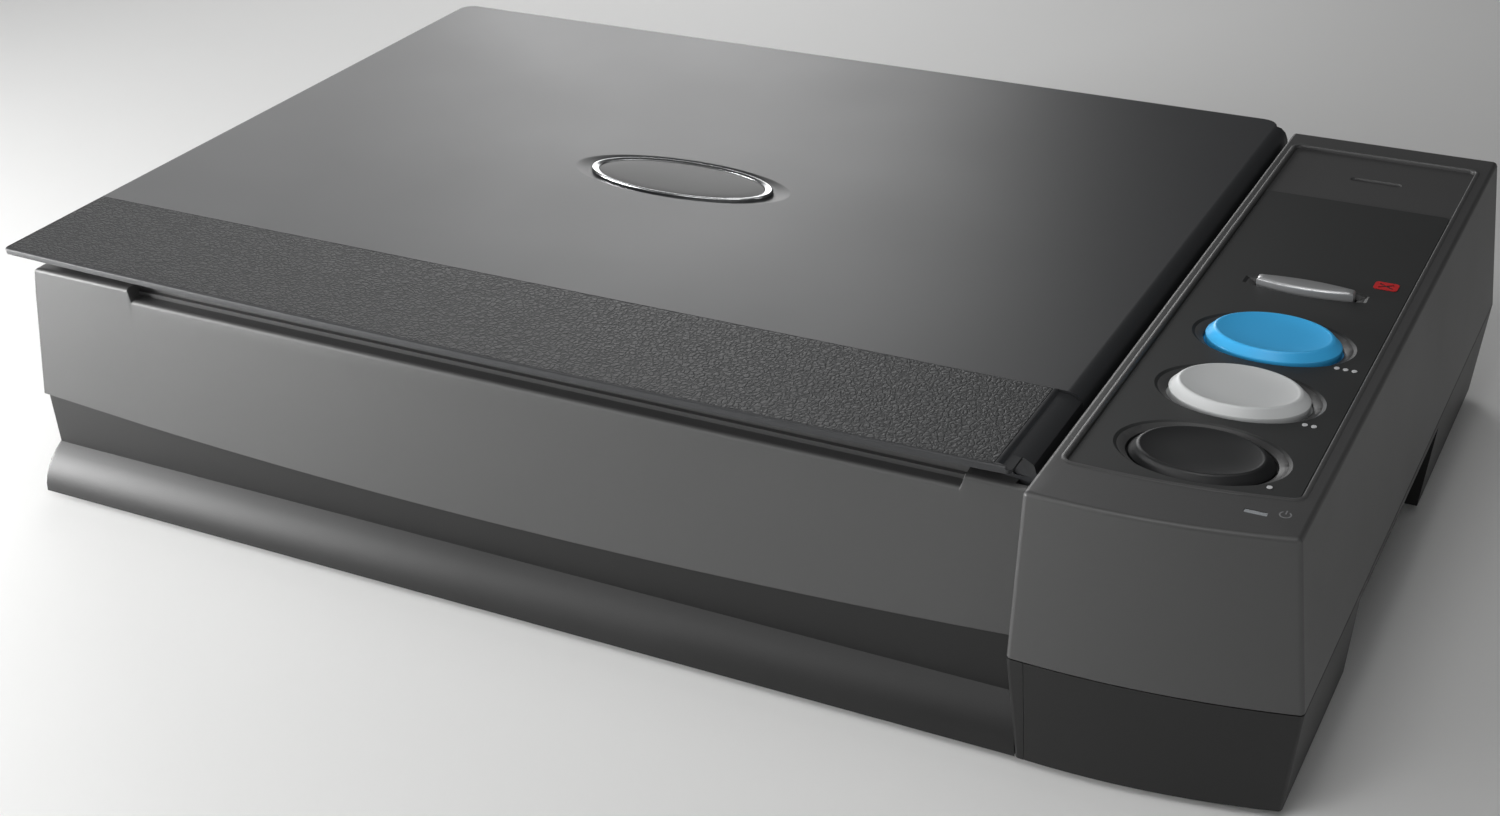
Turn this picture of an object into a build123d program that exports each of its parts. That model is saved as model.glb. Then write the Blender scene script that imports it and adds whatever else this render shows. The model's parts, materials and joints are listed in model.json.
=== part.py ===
from build123d import *
from math import pi, sin
import os

# Flatbed scanner with a book edge. X runs to the right, Y to the rear, Z up. All sizes are in millimetres.
# The origin is under the middle of the object, on the surface that its rubber feet stand on.

# --- driving dimensions -------------------------------------------------------------------------
FOOT = 3.0  # rubber feet under the floor
WALL = 2.5  # moulded shell thickness
PARTING = 39.6  # height where the grey shells meet the black ones, at the ends
DROOP = 4.5  # how far the fascia's lower edge sags at mid width
DECK = 87.5  # top of the platen deck
LID_TOP = 96.0
COLUMN_TOP = 94.5
REAR = 137.0  # outer face of the rear wall

FLOOR = FOOT + WALL
CREASE = 19.3  # height of the crease between the black band and the foot skirt
GAP = 0.3  # clearance between neighbouring mouldings

# fascia: left end, front face and forward bow, at the parting and at the deck
FASCIA_LOW = (-223.8, -131.2, 3.5)
FASCIA_TOP = (-217.8, -128.3, 0.5)
# black band, at the parting and at the crease
BAND_TOP = (-223.0, -130.4, 2.5)
BAND_LOW = (-223.3, -129.9, 0.0)
SKIRT_OUT = 8.8  # how far the foot skirt stands out at the front
SKIRT_SIDE = 2.6  # and at the left end
SKIRT_STEPS = 6

# control column: left, right, front left corner and front right corner at each height
COLUMN_LEVELS = {
    FOOT: (145.3, 222.0, -139.0, -131.4),
    PARTING: (142.9, 225.9, -142.0, -134.6),
    COLUMN_TOP: (146.2, 220.2, -140.9, -134.3),
}
COLUMN_BULGE = 3.0  # forward bulge of the column's front face
COLUMN_CORNER = 1.5

# platen
GLASS_X = (-206.0, 116.0)
GLASS_Y = (-120.0, 104.0)
GLASS_T = 2.8
LEDGE = 4.0
NOTCH_X = (-177.0, 124.5)
NOTCH_DEPTH = 4.0
NOTCH_SLOPE = 1.5
NOTCH_BACK = -122.5

# hand arch in the right side
ARCH_Y = (-58.0, 44.5)
ARCH_X = 190.0
ARCH_TOP = 35.0
COVER_BACK = -121.0
COVER_LEFT = 148.3  # seam in the column's front between the cover and the lower housing

# lid
LID_X = (-224.5, 139.8)
ROLL_OUT = 4.8  # the lid's right side rolls over and down, this far beyond its top edge
ROLL_DROP = 6.5
ROLL_FRONT = -124.5
LID_Y = (-135.5, 142.4)
LID_BOW = 2.5  # forward bow of the lip's front edge
LID_RING = -123.0  # front of the lid's body behind the lip
LID_SIDE = -214.5  # left end of the lid's body behind the lip
LID_PLATE = 2.5
LID_UNDER = 89.0
SKIRT_LOW = 84.0  # bottom of the deep right skirt
STRIP_REAR = -86.0
STRIP_T = 0.8
STRIP_RIGHT = 135.0
BADGE = (-41.0, 7.5)
BADGE_R = (36.5, 14.5)
BADGE_DISH = (43.0, 16.5)  # shallow lens-shaped hollow that the badge sits in
BADGE_SINK = 0.8
RING_W = (3.4, 1.6)  # width of the badge's rim at its ends and at its sides

CHANNEL_X = (139.0, 145.0)  # channel in the deck that takes the lid's deep right side
CHANNEL_DEPTH = 5.5

# hinges
PIVOT_Y = 138.6
PIVOT_Z = 86.0
HINGE_X = (-160.0, 80.0)
PIN_R = 1.5
HEAD_W = 22.0
EAR_W = 4.0
POST = (18.0, 8.0)
POST_Y = 126.0
POST_LOW = 34.0
POCKET_HALF = 18.0
POCKET_FRONT = 115.8
POCKET_FLOOR = 79.0

# carriage drive
CARRIAGE_X = -193.0
CARRIAGE_W = 46.0
CARRIAGE_Y = (-120.5, 112.0)
CARRIAGE_Z = (44.0, 78.0)
CX = (CARRIAGE_X - CARRIAGE_W / 2, CARRIAGE_X + CARRIAGE_W / 2)
TRAY = 2.0  # wall of the carriage tray
MIRROR_PLACES = [(-2, 73, 45), (15, 68, -60), (-16.5, 52, 20)]  # X from the middle, Z and tilt
RIB_Y = (-108.0, 100.0)  # ribs that hold the mirrors' ends
LENS = (-20.0, 60.0)
LENS_R = 8.0
BAR_Y = (-112.0, 98.0)
BUSH_X = (-15, 15)  # bush and pad places from the carriage's middle
ROD = (104.0, 40.0)
ROD_R = 4.0
BUSH_R = 6.5
BELT_Y = 70.0
PULLEY_X = 133.0
IDLER_X = -208.0
BELT_IN_R = 7.4
BELT_T = 1.4
BELT_Z = (13.6, 19.8)
GEAR_TEETH = 36
PINION_TEETH = 12
GEAR_MODULE = 1.0
MESH_SLACK = 0.25
GEAR_Z = (8.0, 12.0)
AXLE_R = 2.0
AXLE_TOP = 24.0
GEAR_R = GEAR_TEETH * GEAR_MODULE / 2
PINION_R = PINION_TEETH * GEAR_MODULE / 2
MOTOR_X = PULLEY_X + GEAR_R + PINION_R + MESH_SLACK
BRACKET_Z = (22.0, 24.0)  # the motor bracket's plate and the idler bracket's top
BRACKET_RIGHT = -194.5
BRACKET_LEGS = [(124, 47), (124, 93), (176, 47), (176, 93)]
MOTOR_R = 17.5
MOTOR_TOP = 44.0
FLANGE_R = 9.6

# control panel
PANEL_X = (150.8, 214.7)
PANEL_REAR = 125.0
PANEL_FRONT = (-120.4, -114.6)
PANEL_FLOOR = 93.3
PANEL_BOW = 2.2
PANEL_CORNER = 2.0
LABEL_T = 0.5
LABEL_REAR = 83.2
BUTTON_X = 183.5
OVAL_BUTTONS = {"black_button": (-100.4, 94.5), "grey_button": (-63.7, 96.4), "blue_button": (-27.0, 96.4)}
OVAL_R = (20.8, 14.5)
WELL_EXTRA = 0.7  # gap around a button at the bottom of its well
WELL_CONE = (3.6, 1.2)  # how far the well's mouth opens out, at its ends and at its sides
WELL_DEPTH = 1.7
SLIM_BUTTON = (10.5, 96.0)
SLIM_SIZE = (31.0, 7.0)
SLIM_END = 0.45  # width of the slim button's blunt ends, as a share of its width
UNDERSIDE = 91.0
FLANGE_T = 1.8
FLANGE_TOP = UNDERSIDE - 0.3
FLANGE_LOW = FLANGE_TOP - FLANGE_T
STEM_R = 2.0
MARK_T = 0.15
DOT_R = 0.8
DOT_X = 205.5
DOT_STEP = 2.6
DOT_BACK = 11.0  # dots lie this far in front of their button's middle
CANCEL_AT = (206.5, 22.0)
LABEL_TOP = PANEL_FLOOR + LABEL_T
REAR_SLOT = (184.2, 104.7)  # shallow slot in the panel's plain rear end
BOARD_Z = 82.0
BOARD_T = 1.6

SPRING_POST = (-166.0, -162.0)  # post on the floor that the belt's tension spring pushes against
SPRING_AXIS = (50.0, 13.0)
SPRING_R = 3.4
SPRING_PITCH = 3.2
WIRE_R = 0.45

# boards and sockets
BOARD_TOP = BOARD_Z + BOARD_T  # of the board under the buttons
LED_X = (202.6, 209.0)
LED_Y = (-127.0, -125.0)
MAIN_BOARD = ((150.0, 186.0), (-60.0, 40.0), (12.0, 13.6))
PORT_BOARD = ((150.0, 200.0), (100.0, 121.0), (44.0, 45.6))
USB_X = (156.0, 168.0)
USB_Z = (45.6, 56.6)
JACK = (182.5, 51.6)  # axis of the power inlet
JACK_R = 4.5

# places of posts, screws and feet
SCREW_PLACES = [(-200, -100), (-206, 40), (-30, -105), (-30, 120),
                (125, -105), (125, 120), (205, 60), (205, 122)]
BOARD_POSTS = [(153.5, -56), (182.5, -56), (153.5, 36), (182.5, 36)]
PORT_POSTS = [(154, 104), (196, 104), (154, 116), (196, 116)]
LID_SCREWS = [(-207, -113.5), (-207, 125), (131, -113.5), (131, 125)]
FEET = [(-205, -118), (-205, 120), (205, 125), (205, -118)]
FOOT_R = 8.0

nodes = {}


def block(x, y, z):
    """A box between two X, two Y and two Z values."""
    size = (x[1] - x[0], y[1] - y[0], z[1] - z[0])
    middle = ((x[0] + x[1]) / 2, (y[0] + y[1]) / 2, (z[0] + z[1]) / 2)
    return Pos(*middle) * Box(*size)


def rod(radius, centre, low, high, axis="z"):
    """A cylinder between two values along an axis; centre gives its other two coordinates."""
    length = high - low
    middle = (low + high) / 2
    if axis == "x":
        return Pos(middle, *centre) * Rot(0, 90, 0) * Cylinder(radius, length)
    if axis == "y":
        return Pos(centre[0], middle, centre[1]) * Rot(90, 0, 0) * Cylinder(radius, length)
    return Pos(*centre, middle) * Cylinder(radius, length)


def prism(sketch, low, high):
    """A flat sketch raised between two heights."""
    return extrude(Pos(0, 0, low) * sketch, high - low)


def blend(a, b, t):
    """The value a share t of the way from a to b."""
    return a + (b - a) * t


def column_at(z):
    """The column's left, right and two front corner values at a height."""
    heights = sorted(COLUMN_LEVELS)
    low, high = heights[:2] if z <= heights[1] else heights[1:]
    share = (z - low) / (high - low)
    return [blend(a, b, share) for a, b in zip(COLUMN_LEVELS[low], COLUMN_LEVELS[high])]


def bowed_outline(x0, x1, left_y, right_y, rear, bow, corner):
    """A four-sided outline whose front edge is an arc bowed forward."""
    front = ThreePointArc((x0, left_y), ((x0 + x1) / 2, (left_y + right_y) / 2 - bow), (x1, right_y))
    sides = Polyline((x1, right_y), (x1, rear), (x0, rear), (x0, left_y))
    face = make_face(front + sides)
    return fillet(face.vertices(), corner)


def column_section(z, inset=0.0):
    """The column's outline at a height, drawn in by an inset."""
    x0, x1, left_y, right_y = column_at(z)
    corner = max(COLUMN_CORNER - inset, 1.0)
    face = bowed_outline(x0 + inset, x1 - inset, left_y + inset, right_y + inset, REAR - inset,
                         COLUMN_BULGE, corner)
    return Pos(0, 0, z) * face


def main_at(z):
    """The main body's left end, front face and bow at a height."""
    if z >= CREASE:
        share = (z - CREASE) / (PARTING - CREASE)
        return [blend(a, b, share) for a, b in zip(BAND_LOW, BAND_TOP)]
    share = (CREASE - z) / (CREASE - FOOT)
    out = sin(share * pi / 2) ** 0.85
    return [BAND_LOW[0] - SKIRT_SIDE * out, BAND_LOW[1] - SKIRT_OUT * out, 0.01]


def main_section(z, right, inset=0.0):
    """The lower body's outline at a height, drawn in by an inset."""
    x0, y0, bow = main_at(z)
    face = bowed_outline(x0 + inset, right, y0 + inset, y0 + inset, REAR - inset, max(bow, 0.01), 1.0)
    return Pos(0, 0, z) * face


def fascia_section(z, right, inset=0.0):
    """The upper body's outline at a height, drawn in by an inset."""
    share = (z - PARTING) / (DECK - PARTING)
    x0, y0, bow = [blend(a, b, share) for a, b in zip(FASCIA_LOW, FASCIA_TOP)]
    face = bowed_outline(x0 + inset, right, y0 + inset, y0 + inset, REAR - inset, bow, 1.5)
    return Pos(0, 0, z) * face


def parting_tool():
    """Everything below the parting surface, whose edge sags at mid width."""
    left, right = -240.0, column_at(PARTING)[0]
    sag = ThreePointArc((left, PARTING), ((left + right) / 2, PARTING - DROOP), (right, PARTING))
    rest = Polyline((right, PARTING), (240, PARTING), (240, -10), (left, -10), (left, PARTING))
    profile = make_face(Plane.XZ * (sag + rest))
    return extrude(profile, 200, both=True)


def ellipse_post(rx, ry, centre, low, high):
    """An upright elliptical post."""
    return prism(Pos(*centre) * Ellipse(rx, ry), low, high)


def gear(teeth, module, low, high, first=0.0):
    """A spur gear with plain trapezoid teeth, its first tooth at an angle in degrees."""
    pitch_r = teeth * module / 2
    root = pitch_r - 1.25 * module
    tip = pitch_r + 0.75 * module
    outline = Circle(root)
    tooth = Polygon((root - 0.5, -1.0), (tip, -0.3), (tip, 0.3), (root - 0.5, 1.0), align=None)
    for i in range(teeth):
        outline += Rot(0, 0, first + i * 360 / teeth) * tooth
    return prism(outline, low, high)


def keep(name, shape):
    """Store one named piece."""
    nodes[name] = shape


# --- outer shells -------------------------------------------------------------------------------
def make_upper_housing():
    """The grey upper body: fascia, deck with the glass opening, front notch, channel and pockets."""
    low = PARTING - DROOP - 1.5
    outer = loft([fascia_section(low, column_at(PARTING)[0] - GAP),
                  fascia_section(PARTING, column_at(PARTING)[0] - GAP),
                  fascia_section(DECK - 1.6, column_at(DECK)[0] - GAP),
                  fascia_section(DECK - 0.5, column_at(DECK)[0] - GAP, 0.5),
                  fascia_section(DECK, column_at(DECK)[0] - GAP, 1.6)], ruled=True)
    inner = loft([fascia_section(low - 1, 150, WALL), fascia_section(DECK - 3, 150, WALL)], ruled=True)
    shell = outer - inner - parting_tool()
    ledge = block((GLASS_X[0] - 4, GLASS_X[1] + 4), (GLASS_Y[0] - 1.5, GLASS_Y[1] + 4), (DECK - 5, DECK - 3))
    front_rib = block((NOTCH_X[0] - 3, NOTCH_X[1] + 3), (-126.5, -121.3), (DECK - 7, DECK - 3))
    shell += ledge + front_rib
    shell -= block((GLASS_X[0] + LEDGE, GLASS_X[1] - LEDGE), (GLASS_Y[0] + LEDGE, GLASS_Y[1] - LEDGE),
                   (DECK - 6, DECK + 1))
    shell -= block(GLASS_X, GLASS_Y, (DECK - 3, DECK + 1))
    sunk = DECK - NOTCH_DEPTH
    notch = make_face(Plane.XZ * Polyline((NOTCH_X[0], DECK + 1), (NOTCH_X[0] + NOTCH_SLOPE, sunk),
                                          (NOTCH_X[1] - NOTCH_SLOPE, sunk), (NOTCH_X[1], DECK + 1), close=True))
    shell -= Pos(0, NOTCH_BACK, 0) * extrude(notch, 20)
    # the channel that takes the lid's deep right skirt
    left, right = CHANNEL_X
    floor = DECK - CHANNEL_DEPTH
    shell -= block((left, right + 5), (ROLL_FRONT - 2, REAR + 8), (floor, DECK + 1))
    shell += block((left - 2, right), (ROLL_FRONT - 2, REAR - 0.5), (floor - 2, floor))
    shell += block((left - 2, left), (ROLL_FRONT - 2, REAR - 0.5), (floor - 2, DECK - 2))
    for x in HINGE_X:
        pocket = (x - POCKET_HALF - 0.2, x + POCKET_HALF + 0.2)
        shell -= block(pocket, (POCKET_FRONT, REAR + 8), (POCKET_FLOOR, DECK + 1))
        shell -= block(pocket, (POCKET_FRONT, REAR - WALL + 0.01), (POCKET_FLOOR - 2, POCKET_FLOOR + 1))
    return shell


def main_solid(right, inset, low):
    """The lower body's solid up to above the parting."""
    steps = [low + (CREASE - low) * i / SKIRT_STEPS for i in range(SKIRT_STEPS + 1)]
    sections = [main_section(z, right, inset) for z in steps]
    return loft(sections, ruled=True) + loft([main_section(CREASE, right, inset),
                                              main_section(PARTING + 1, right, inset)], ruled=True)


def column_lower(inset=0.0, low=FOOT, high=PARTING):
    """The column's solid below the parting."""
    return loft([column_section(low, inset), column_section(high, inset)], ruled=True)


def foot_cover_region(slack=0.0):
    """The space of the column's front foot, which is a cover of its own."""
    front = block((COVER_LEFT - slack, 235), (-150, COVER_BACK + slack), (-5, PARTING + 5))
    side = block((ARCH_X - 2 - slack, 235), (-150, ARCH_Y[0] + slack), (-5, PARTING + 5))
    return front + side


def make_lower_housing():
    """The black base: band, flared foot skirt, rear of the column with the hand arch, and posts."""
    trimmed = main_solid(150, 0, FOOT) - column_lower(-GAP, FOOT, PARTING)
    rear_part = column_lower() - foot_cover_region(0.0)
    bridge = block((138, 150), (COVER_BACK, REAR - 0.5), (FOOT, PARTING - 0.2))
    outer = trimmed + rear_part + bridge
    outer &= parting_tool()
    outer -= foot_cover_region() & column_lower(-GAP)
    cavity = main_solid(187.5, WALL, FLOOR) - block((142, 240), (-150, COVER_BACK + WALL), (0, 60))
    cavity += block((180, 218), (ARCH_Y[1] + WALL, REAR - WALL), (FLOOR, 60))
    cavity += block((180, 219), (ARCH_Y[0] + WALL, REAR - WALL), (ARCH_TOP + 1.5, 60))
    outer -= cavity
    outer -= block((ARCH_X, 240), ARCH_Y, (-1, ARCH_TOP))
    for x, y in SCREW_PLACES:
        outer += rod(4.0, (x, y), FLOOR, 34)
    for x, y in BOARD_POSTS:
        outer += rod(3.0, (x, y), FLOOR, 12)
    for x, y in PORT_POSTS:
        outer += rod(3.0, (x, y), FLOOR, 44)
    for x, y in SCREW_PLACES:
        outer -= rod(1.6, (x, y), 0, 33)
        outer -= rod(3.3, (x, y), 0, FOOT + 1.2)
    outer += block(SPRING_POST, (46, 54), (FLOOR, 18))
    return outer


def make_foot_cover():
    """The cover in front of the hand arch."""
    outer = column_lower() & foot_cover_region(-0.1)
    room = column_lower(WALL, FLOOR, PARTING)
    inner = room & block((COVER_LEFT + WALL, 235), (-150, COVER_BACK - WALL), (0, 60))
    inner += room & block((ARCH_X, 235), (-150, ARCH_Y[0] - WALL), (0, 60))
    cover = outer - inner
    arch_slope = make_face(Plane.YZ * Polyline((ARCH_Y[0] + 2, -1), (ARCH_Y[0] + 2, ARCH_TOP),
                                               (ARCH_Y[0] - 9, ARCH_TOP), (ARCH_Y[0] - 1, -1), close=True))
    return cover - Pos(ARCH_X - 10, 0, 0) * extrude(arch_slope, 60)


def make_control_housing():
    """The column's grey upper shell."""
    outer = loft([column_section(PARTING), column_section(COLUMN_TOP - 1.8)], ruled=True)
    outer += loft([column_section(COLUMN_TOP - 1.8), column_section(COLUMN_TOP - 0.6, 0.5),
                   column_section(COLUMN_TOP, 1.6)], ruled=True)
    inner = loft([column_section(PARTING - 0.01, WALL), column_section(UNDERSIDE, WALL)], ruled=True)
    shell = outer - inner
    shell -= block((135, 155), (-118, 130), (PARTING - 1, 78))
    shell -= prism(panel_outline(PANEL_REAR, 0.0), PANEL_FLOOR, COLUMN_TOP + 1)
    shell -= button_wells()
    shell -= prism(Pos(*REAR_SLOT) * SlotOverall(18, 3.2), PANEL_FLOOR - 0.8, 100)
    shell -= block((LED_X[0] - 0.2, LED_X[1] + 0.2), (LED_Y[0] - 0.2, LED_Y[1] + 0.2), (85, 100))
    for x in (159.5, 208.5):
        for y in (-80, 27):
            shell += rod(2.0, (x, y), BOARD_TOP, UNDERSIDE + 0.5)
    shell -= block((USB_X[0] - 0.2, USB_X[1] + 0.2), (130, 140), (USB_Z[0] - 0.2, USB_Z[1] + 0.2))
    shell -= rod(JACK_R + 0.1, JACK, 130, 140, "y")
    return shell


def panel_outline(rear, inset):
    """The recessed panel's outline, with its front edge curved like the column's."""
    face = bowed_outline(PANEL_X[0] + inset, PANEL_X[1] - inset, PANEL_FRONT[0] + inset,
                         PANEL_FRONT[1] + inset, rear - inset, PANEL_BOW, PANEL_CORNER)
    return face


def slim_outline(grow):
    """The slim button's boat-shaped outline; grow is how far it stands out at its ends and its sides."""
    half, width = SLIM_SIZE[0] / 2 + grow[0], SLIM_SIZE[1] / 2 + grow[1]
    end = width * SLIM_END
    near = ThreePointArc((-half, -end), (0, -width), (half, -end))
    far = ThreePointArc((half, end), (0, width), (-half, end))
    sides = Line((half, -end), (half, end)) + Line((-half, end), (-half, -end))
    return Pos(BUTTON_X, SLIM_BUTTON[0]) * make_face(near + far + sides)


def well_section(outline, z):
    """A button outline raised to a height."""
    return Pos(0, 0, z) * outline


def button_wells():
    """The hole for every button, opening out in a shallow cone towards its mouth."""
    mouth = LABEL_TOP
    foot = mouth - WELL_DEPTH
    tight = (WELL_EXTRA, WELL_EXTRA)
    wide = (WELL_EXTRA + WELL_CONE[0], WELL_EXTRA + WELL_CONE[1])
    wells = prism(slim_outline(tight), UNDERSIDE - 5, mouth)
    cone = [well_section(slim_outline(tight), foot), well_section(slim_outline(wide), mouth)]
    wells += loft(cone, ruled=True)
    wells += prism(slim_outline(wide), mouth, mouth + 5)
    for y, _ in OVAL_BUTTONS.values():
        ovals = [Pos(BUTTON_X, y) * Ellipse(OVAL_R[0] + grow[0], OVAL_R[1] + grow[1]) for grow in (tight, wide)]
        wells += prism(ovals[0], UNDERSIDE - 5, mouth)
        wells += loft([well_section(ovals[0], foot), well_section(ovals[1], mouth)], ruled=True)
        wells += prism(ovals[1], mouth, mouth + 5)
    return wells


# --- control panel ------------------------------------------------------------------------------
def make_label():
    """The black film on the panel, with its holes round the buttons."""
    film = prism(panel_outline(LABEL_REAR, GAP), PANEL_FLOOR, LABEL_TOP)
    return film - button_wells()


def make_marks():
    """One, two or three small dots beside the oval buttons."""
    marks = []
    for count, (y, _) in enumerate(OVAL_BUTTONS.values(), start=1):
        for i in range(count):
            marks.append(rod(DOT_R, (DOT_X + DOT_STEP * i, y - DOT_BACK), LABEL_TOP, LABEL_TOP + MARK_T))
    return Compound(marks)


def make_cancel_mark():
    """A rounded plate with a plain cross cut through it, beside the slim button."""
    plate = prism(Pos(*CANCEL_AT) * RectangleRounded(7.6, 5.4, 1.2), LABEL_TOP, LABEL_TOP + MARK_T)
    for angle in (32, -32):
        plate -= prism(Pos(*CANCEL_AT) * Rot(0, 0, angle) * Rectangle(5.4, 0.8), LABEL_TOP - 1, LABEL_TOP + 1)
    return plate


def make_oval_button(y, top):
    """An oval key: its dished cap, the flange that keeps it in its well and the stem under it."""
    body = ellipse_post(*OVAL_R, (BUTTON_X, y), FLANGE_LOW, top)
    body = chamfer(body.edges().group_by(Axis.Z)[-1], 1.2)
    flange = ellipse_post(OVAL_R[0] + 2.4, OVAL_R[1] + 2.2, (BUTTON_X, y), FLANGE_LOW, FLANGE_TOP)
    floor = Pos(BUTTON_X, y, top - 0.9) * Ellipse(11, 7)
    dish = loft([floor, Pos(BUTTON_X, y, top + 0.02) * Ellipse(17.6, 11.6)])
    stem = rod(STEM_R, (BUTTON_X, y), FLANGE_LOW - 0.2, FLANGE_LOW)
    return body + flange - dish + stem


def make_slim_button():
    y, top = SLIM_BUTTON
    body = prism(slim_outline((0.0, 0.0)), FLANGE_LOW, top)
    flange = block((BUTTON_X - 17.5, BUTTON_X + 17.5), (y - 5.5, y + 5.5), (FLANGE_LOW, FLANGE_TOP))
    stem = rod(STEM_R, (BUTTON_X, y), FLANGE_LOW - 0.2, FLANGE_LOW)
    return body + flange + stem


def make_key_switches():
    """A small push switch under every button."""
    switches = []
    for y in [y for y, _ in OVAL_BUTTONS.values()] + [SLIM_BUTTON[0]]:
        base = block((BUTTON_X - 3, BUTTON_X + 3), (y - 3, y + 3), (BOARD_TOP, BOARD_TOP + 2.6))
        switches.append(base + rod(1.6, (BUTTON_X, y), BOARD_TOP + 2.6, BOARD_TOP + 3.4))
    return Compound(switches)


# --- lid ----------------------------------------------------------------------------------------
def lid_outline():
    """The lid's flat outline with its bowed lip."""
    x0, x1 = LID_X
    front, rear = LID_Y
    corner = front + LID_BOW
    lip = ThreePointArc((x0, corner), ((x0 + x1) / 2, front), (x1, corner))
    face = make_face(lip + Polyline((x1, corner), (x1, rear), (x0, rear), (x0, corner)))
    rear_corners = face.vertices().group_by(Axis.Y)[-1]
    return fillet(rear_corners, 6)


def rolled_side():
    """The lid's right side: a wall whose top rolls over from the lid's flat top."""
    x0, x1 = LID_X[1] - 4, LID_X[1] + ROLL_OUT
    roll = EllipticalCenterArc((LID_X[1], LID_TOP - ROLL_DROP), ROLL_OUT, ROLL_DROP, 0, arc_size=90)
    rest = Polyline(roll @ 1, (x0, LID_TOP), (x0, LID_TOP - LID_PLATE), (x1 - WALL - 1.5, LID_TOP - LID_PLATE),
                    (x1 - WALL, LID_TOP - ROLL_DROP), (x1 - WALL, SKIRT_LOW), (x1, SKIRT_LOW), roll @ 0)
    profile = make_face(Plane.XZ * (roll + rest))
    return Pos(0, ROLL_FRONT, 0) * extrude(profile, ROLL_FRONT - LID_Y[1] + 4)


def make_lid_shell():
    """The lid's shell: lipped plate, ring wall, rolled side, and places for strip and badge."""
    plate = prism(lid_outline(), LID_TOP - LID_PLATE, LID_TOP)
    ring = block((LID_SIDE, LID_X[1]), (LID_RING, LID_Y[1] - 0.5), (LID_UNDER, LID_TOP - LID_PLATE))
    ring -= block((LID_SIDE + WALL, LID_X[1] - WALL), (LID_RING + WALL, LID_Y[1] - 3), (0, LID_TOP))
    shell = (plate + ring) & prism(lid_outline(), 80, 100)
    shell += rolled_side()
    shell -= make_grip_strip()
    floor = Pos(*BADGE, LID_TOP - BADGE_SINK) * Ellipse(*BADGE_R)
    mouth = Pos(*BADGE, LID_TOP) * Ellipse(*BADGE_DISH)
    return shell - loft([floor, mouth], ruled=True)


def make_grip_strip():
    area = block((LID_X[0], STRIP_RIGHT), (LID_Y[0], STRIP_REAR), (LID_TOP - STRIP_T, LID_TOP))
    return area & prism(lid_outline(), 80, 100)


def make_badge_ring():
    ring = ellipse_post(BADGE_R[0] - GAP, BADGE_R[1] - GAP, BADGE, LID_TOP - BADGE_SINK, LID_TOP + 0.6)
    return ring - ellipse_post(BADGE_R[0] - RING_W[0], BADGE_R[1] - RING_W[1], BADGE, 90, 100)


def make_badge_plate():
    rx, ry = BADGE_R[0] - RING_W[0] - 0.1, BADGE_R[1] - RING_W[1] - 0.1
    return ellipse_post(rx, ry, BADGE, LID_TOP - BADGE_SINK, LID_TOP)


def make_lid_inner_panel():
    """The panel that closes the lid from below, with its screw posts."""
    x = (LID_SIDE + WALL + 0.2, LID_X[1] - WALL - 0.2)
    y = (LID_RING + WALL + 0.2, LID_Y[1] - 3.2)
    panel = block(x, y, (LID_UNDER, LID_UNDER + 2))
    for sx, sy in LID_SCREWS:
        panel += rod(3.5, (sx, sy), LID_UNDER + 2, LID_TOP - LID_PLATE)
        panel -= rod(1.3, (sx, sy), LID_UNDER - 1, LID_TOP - LID_PLATE - 0.5)
        panel -= rod(2.7, (sx, sy), LID_UNDER - 1, LID_UNDER + 1)
    return panel


def make_lid_screws():
    return make_screw_group(LID_SCREWS, 2.5, (LID_UNDER + 0.2, LID_UNDER + 1), 1.2, LID_UNDER + 3.5)


def make_hinge_post(x):
    """A post that slides up and down in its socket and carries the lid's pivot."""
    rear = PIVOT_Y + 2.6
    head = block((x - HEAD_W / 2, x + HEAD_W / 2), (119.5, PIVOT_Y), (POCKET_FLOOR + 0.3, PIVOT_Z + 2.6))
    head += block((x - HEAD_W / 2, x + HEAD_W / 2), (PIVOT_Y - 1, rear - 1), (PIVOT_Z - 4, PIVOT_Z + 1.5))
    head += rod(2.6, (PIVOT_Y, PIVOT_Z), x - HEAD_W / 2, x + HEAD_W / 2, "x")
    post = block((x - POST[0] / 2, x + POST[0] / 2), (POST_Y - POST[1] / 2, POST_Y + POST[1] / 2),
                 (POST_LOW + 1, POCKET_FLOOR + 1))
    return head + post - rod(PIN_R + 0.05, (PIVOT_Y, PIVOT_Z), x - 20, x + 20, "x")


def make_hinge_socket(x):
    """The tray behind the platen and the sleeve that guides the post."""
    half = POCKET_HALF
    tray = block((x - half, x + half), (116, REAR - WALL), (POCKET_FLOOR - 2, DECK - 0.2))
    tray -= block((x - half + 1.6, x + half - 1.6), (117.6, REAR + 1), (POCKET_FLOOR, DECK + 1))
    sleeve = block((x - POST[0] / 2 - 2.3, x + POST[0] / 2 + 2.3),
                   (POST_Y - POST[1] / 2 - 2.3, POST_Y + POST[1] / 2 + 2.3), (POST_LOW - 2, POCKET_FLOOR - 1))
    hole = block((x - POST[0] / 2 - GAP, x + POST[0] / 2 + GAP),
                 (POST_Y - POST[1] / 2 - GAP, POST_Y + POST[1] / 2 + GAP), (POST_LOW, POCKET_FLOOR + 1))
    return tray + sleeve - hole


def make_lid_ears():
    """Two ears on each side of each post."""
    ears = []
    for x in HINGE_X:
        for side in (-1, 1):
            inner = x + side * (HEAD_W / 2 + GAP)
            outer = inner + side * EAR_W
            span = (min(inner, outer), max(inner, outer))
            ear = block(span, (PIVOT_Y - 2.6, PIVOT_Y + 0.2), (PIVOT_Z, LID_UNDER))
            ear += rod(2.6, (PIVOT_Y, PIVOT_Z), *span, "x")
            ears.append(ear - rod(PIN_R, (PIVOT_Y, PIVOT_Z), span[0] - 1, span[1] + 1, "x"))
    return Compound(ears)


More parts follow.
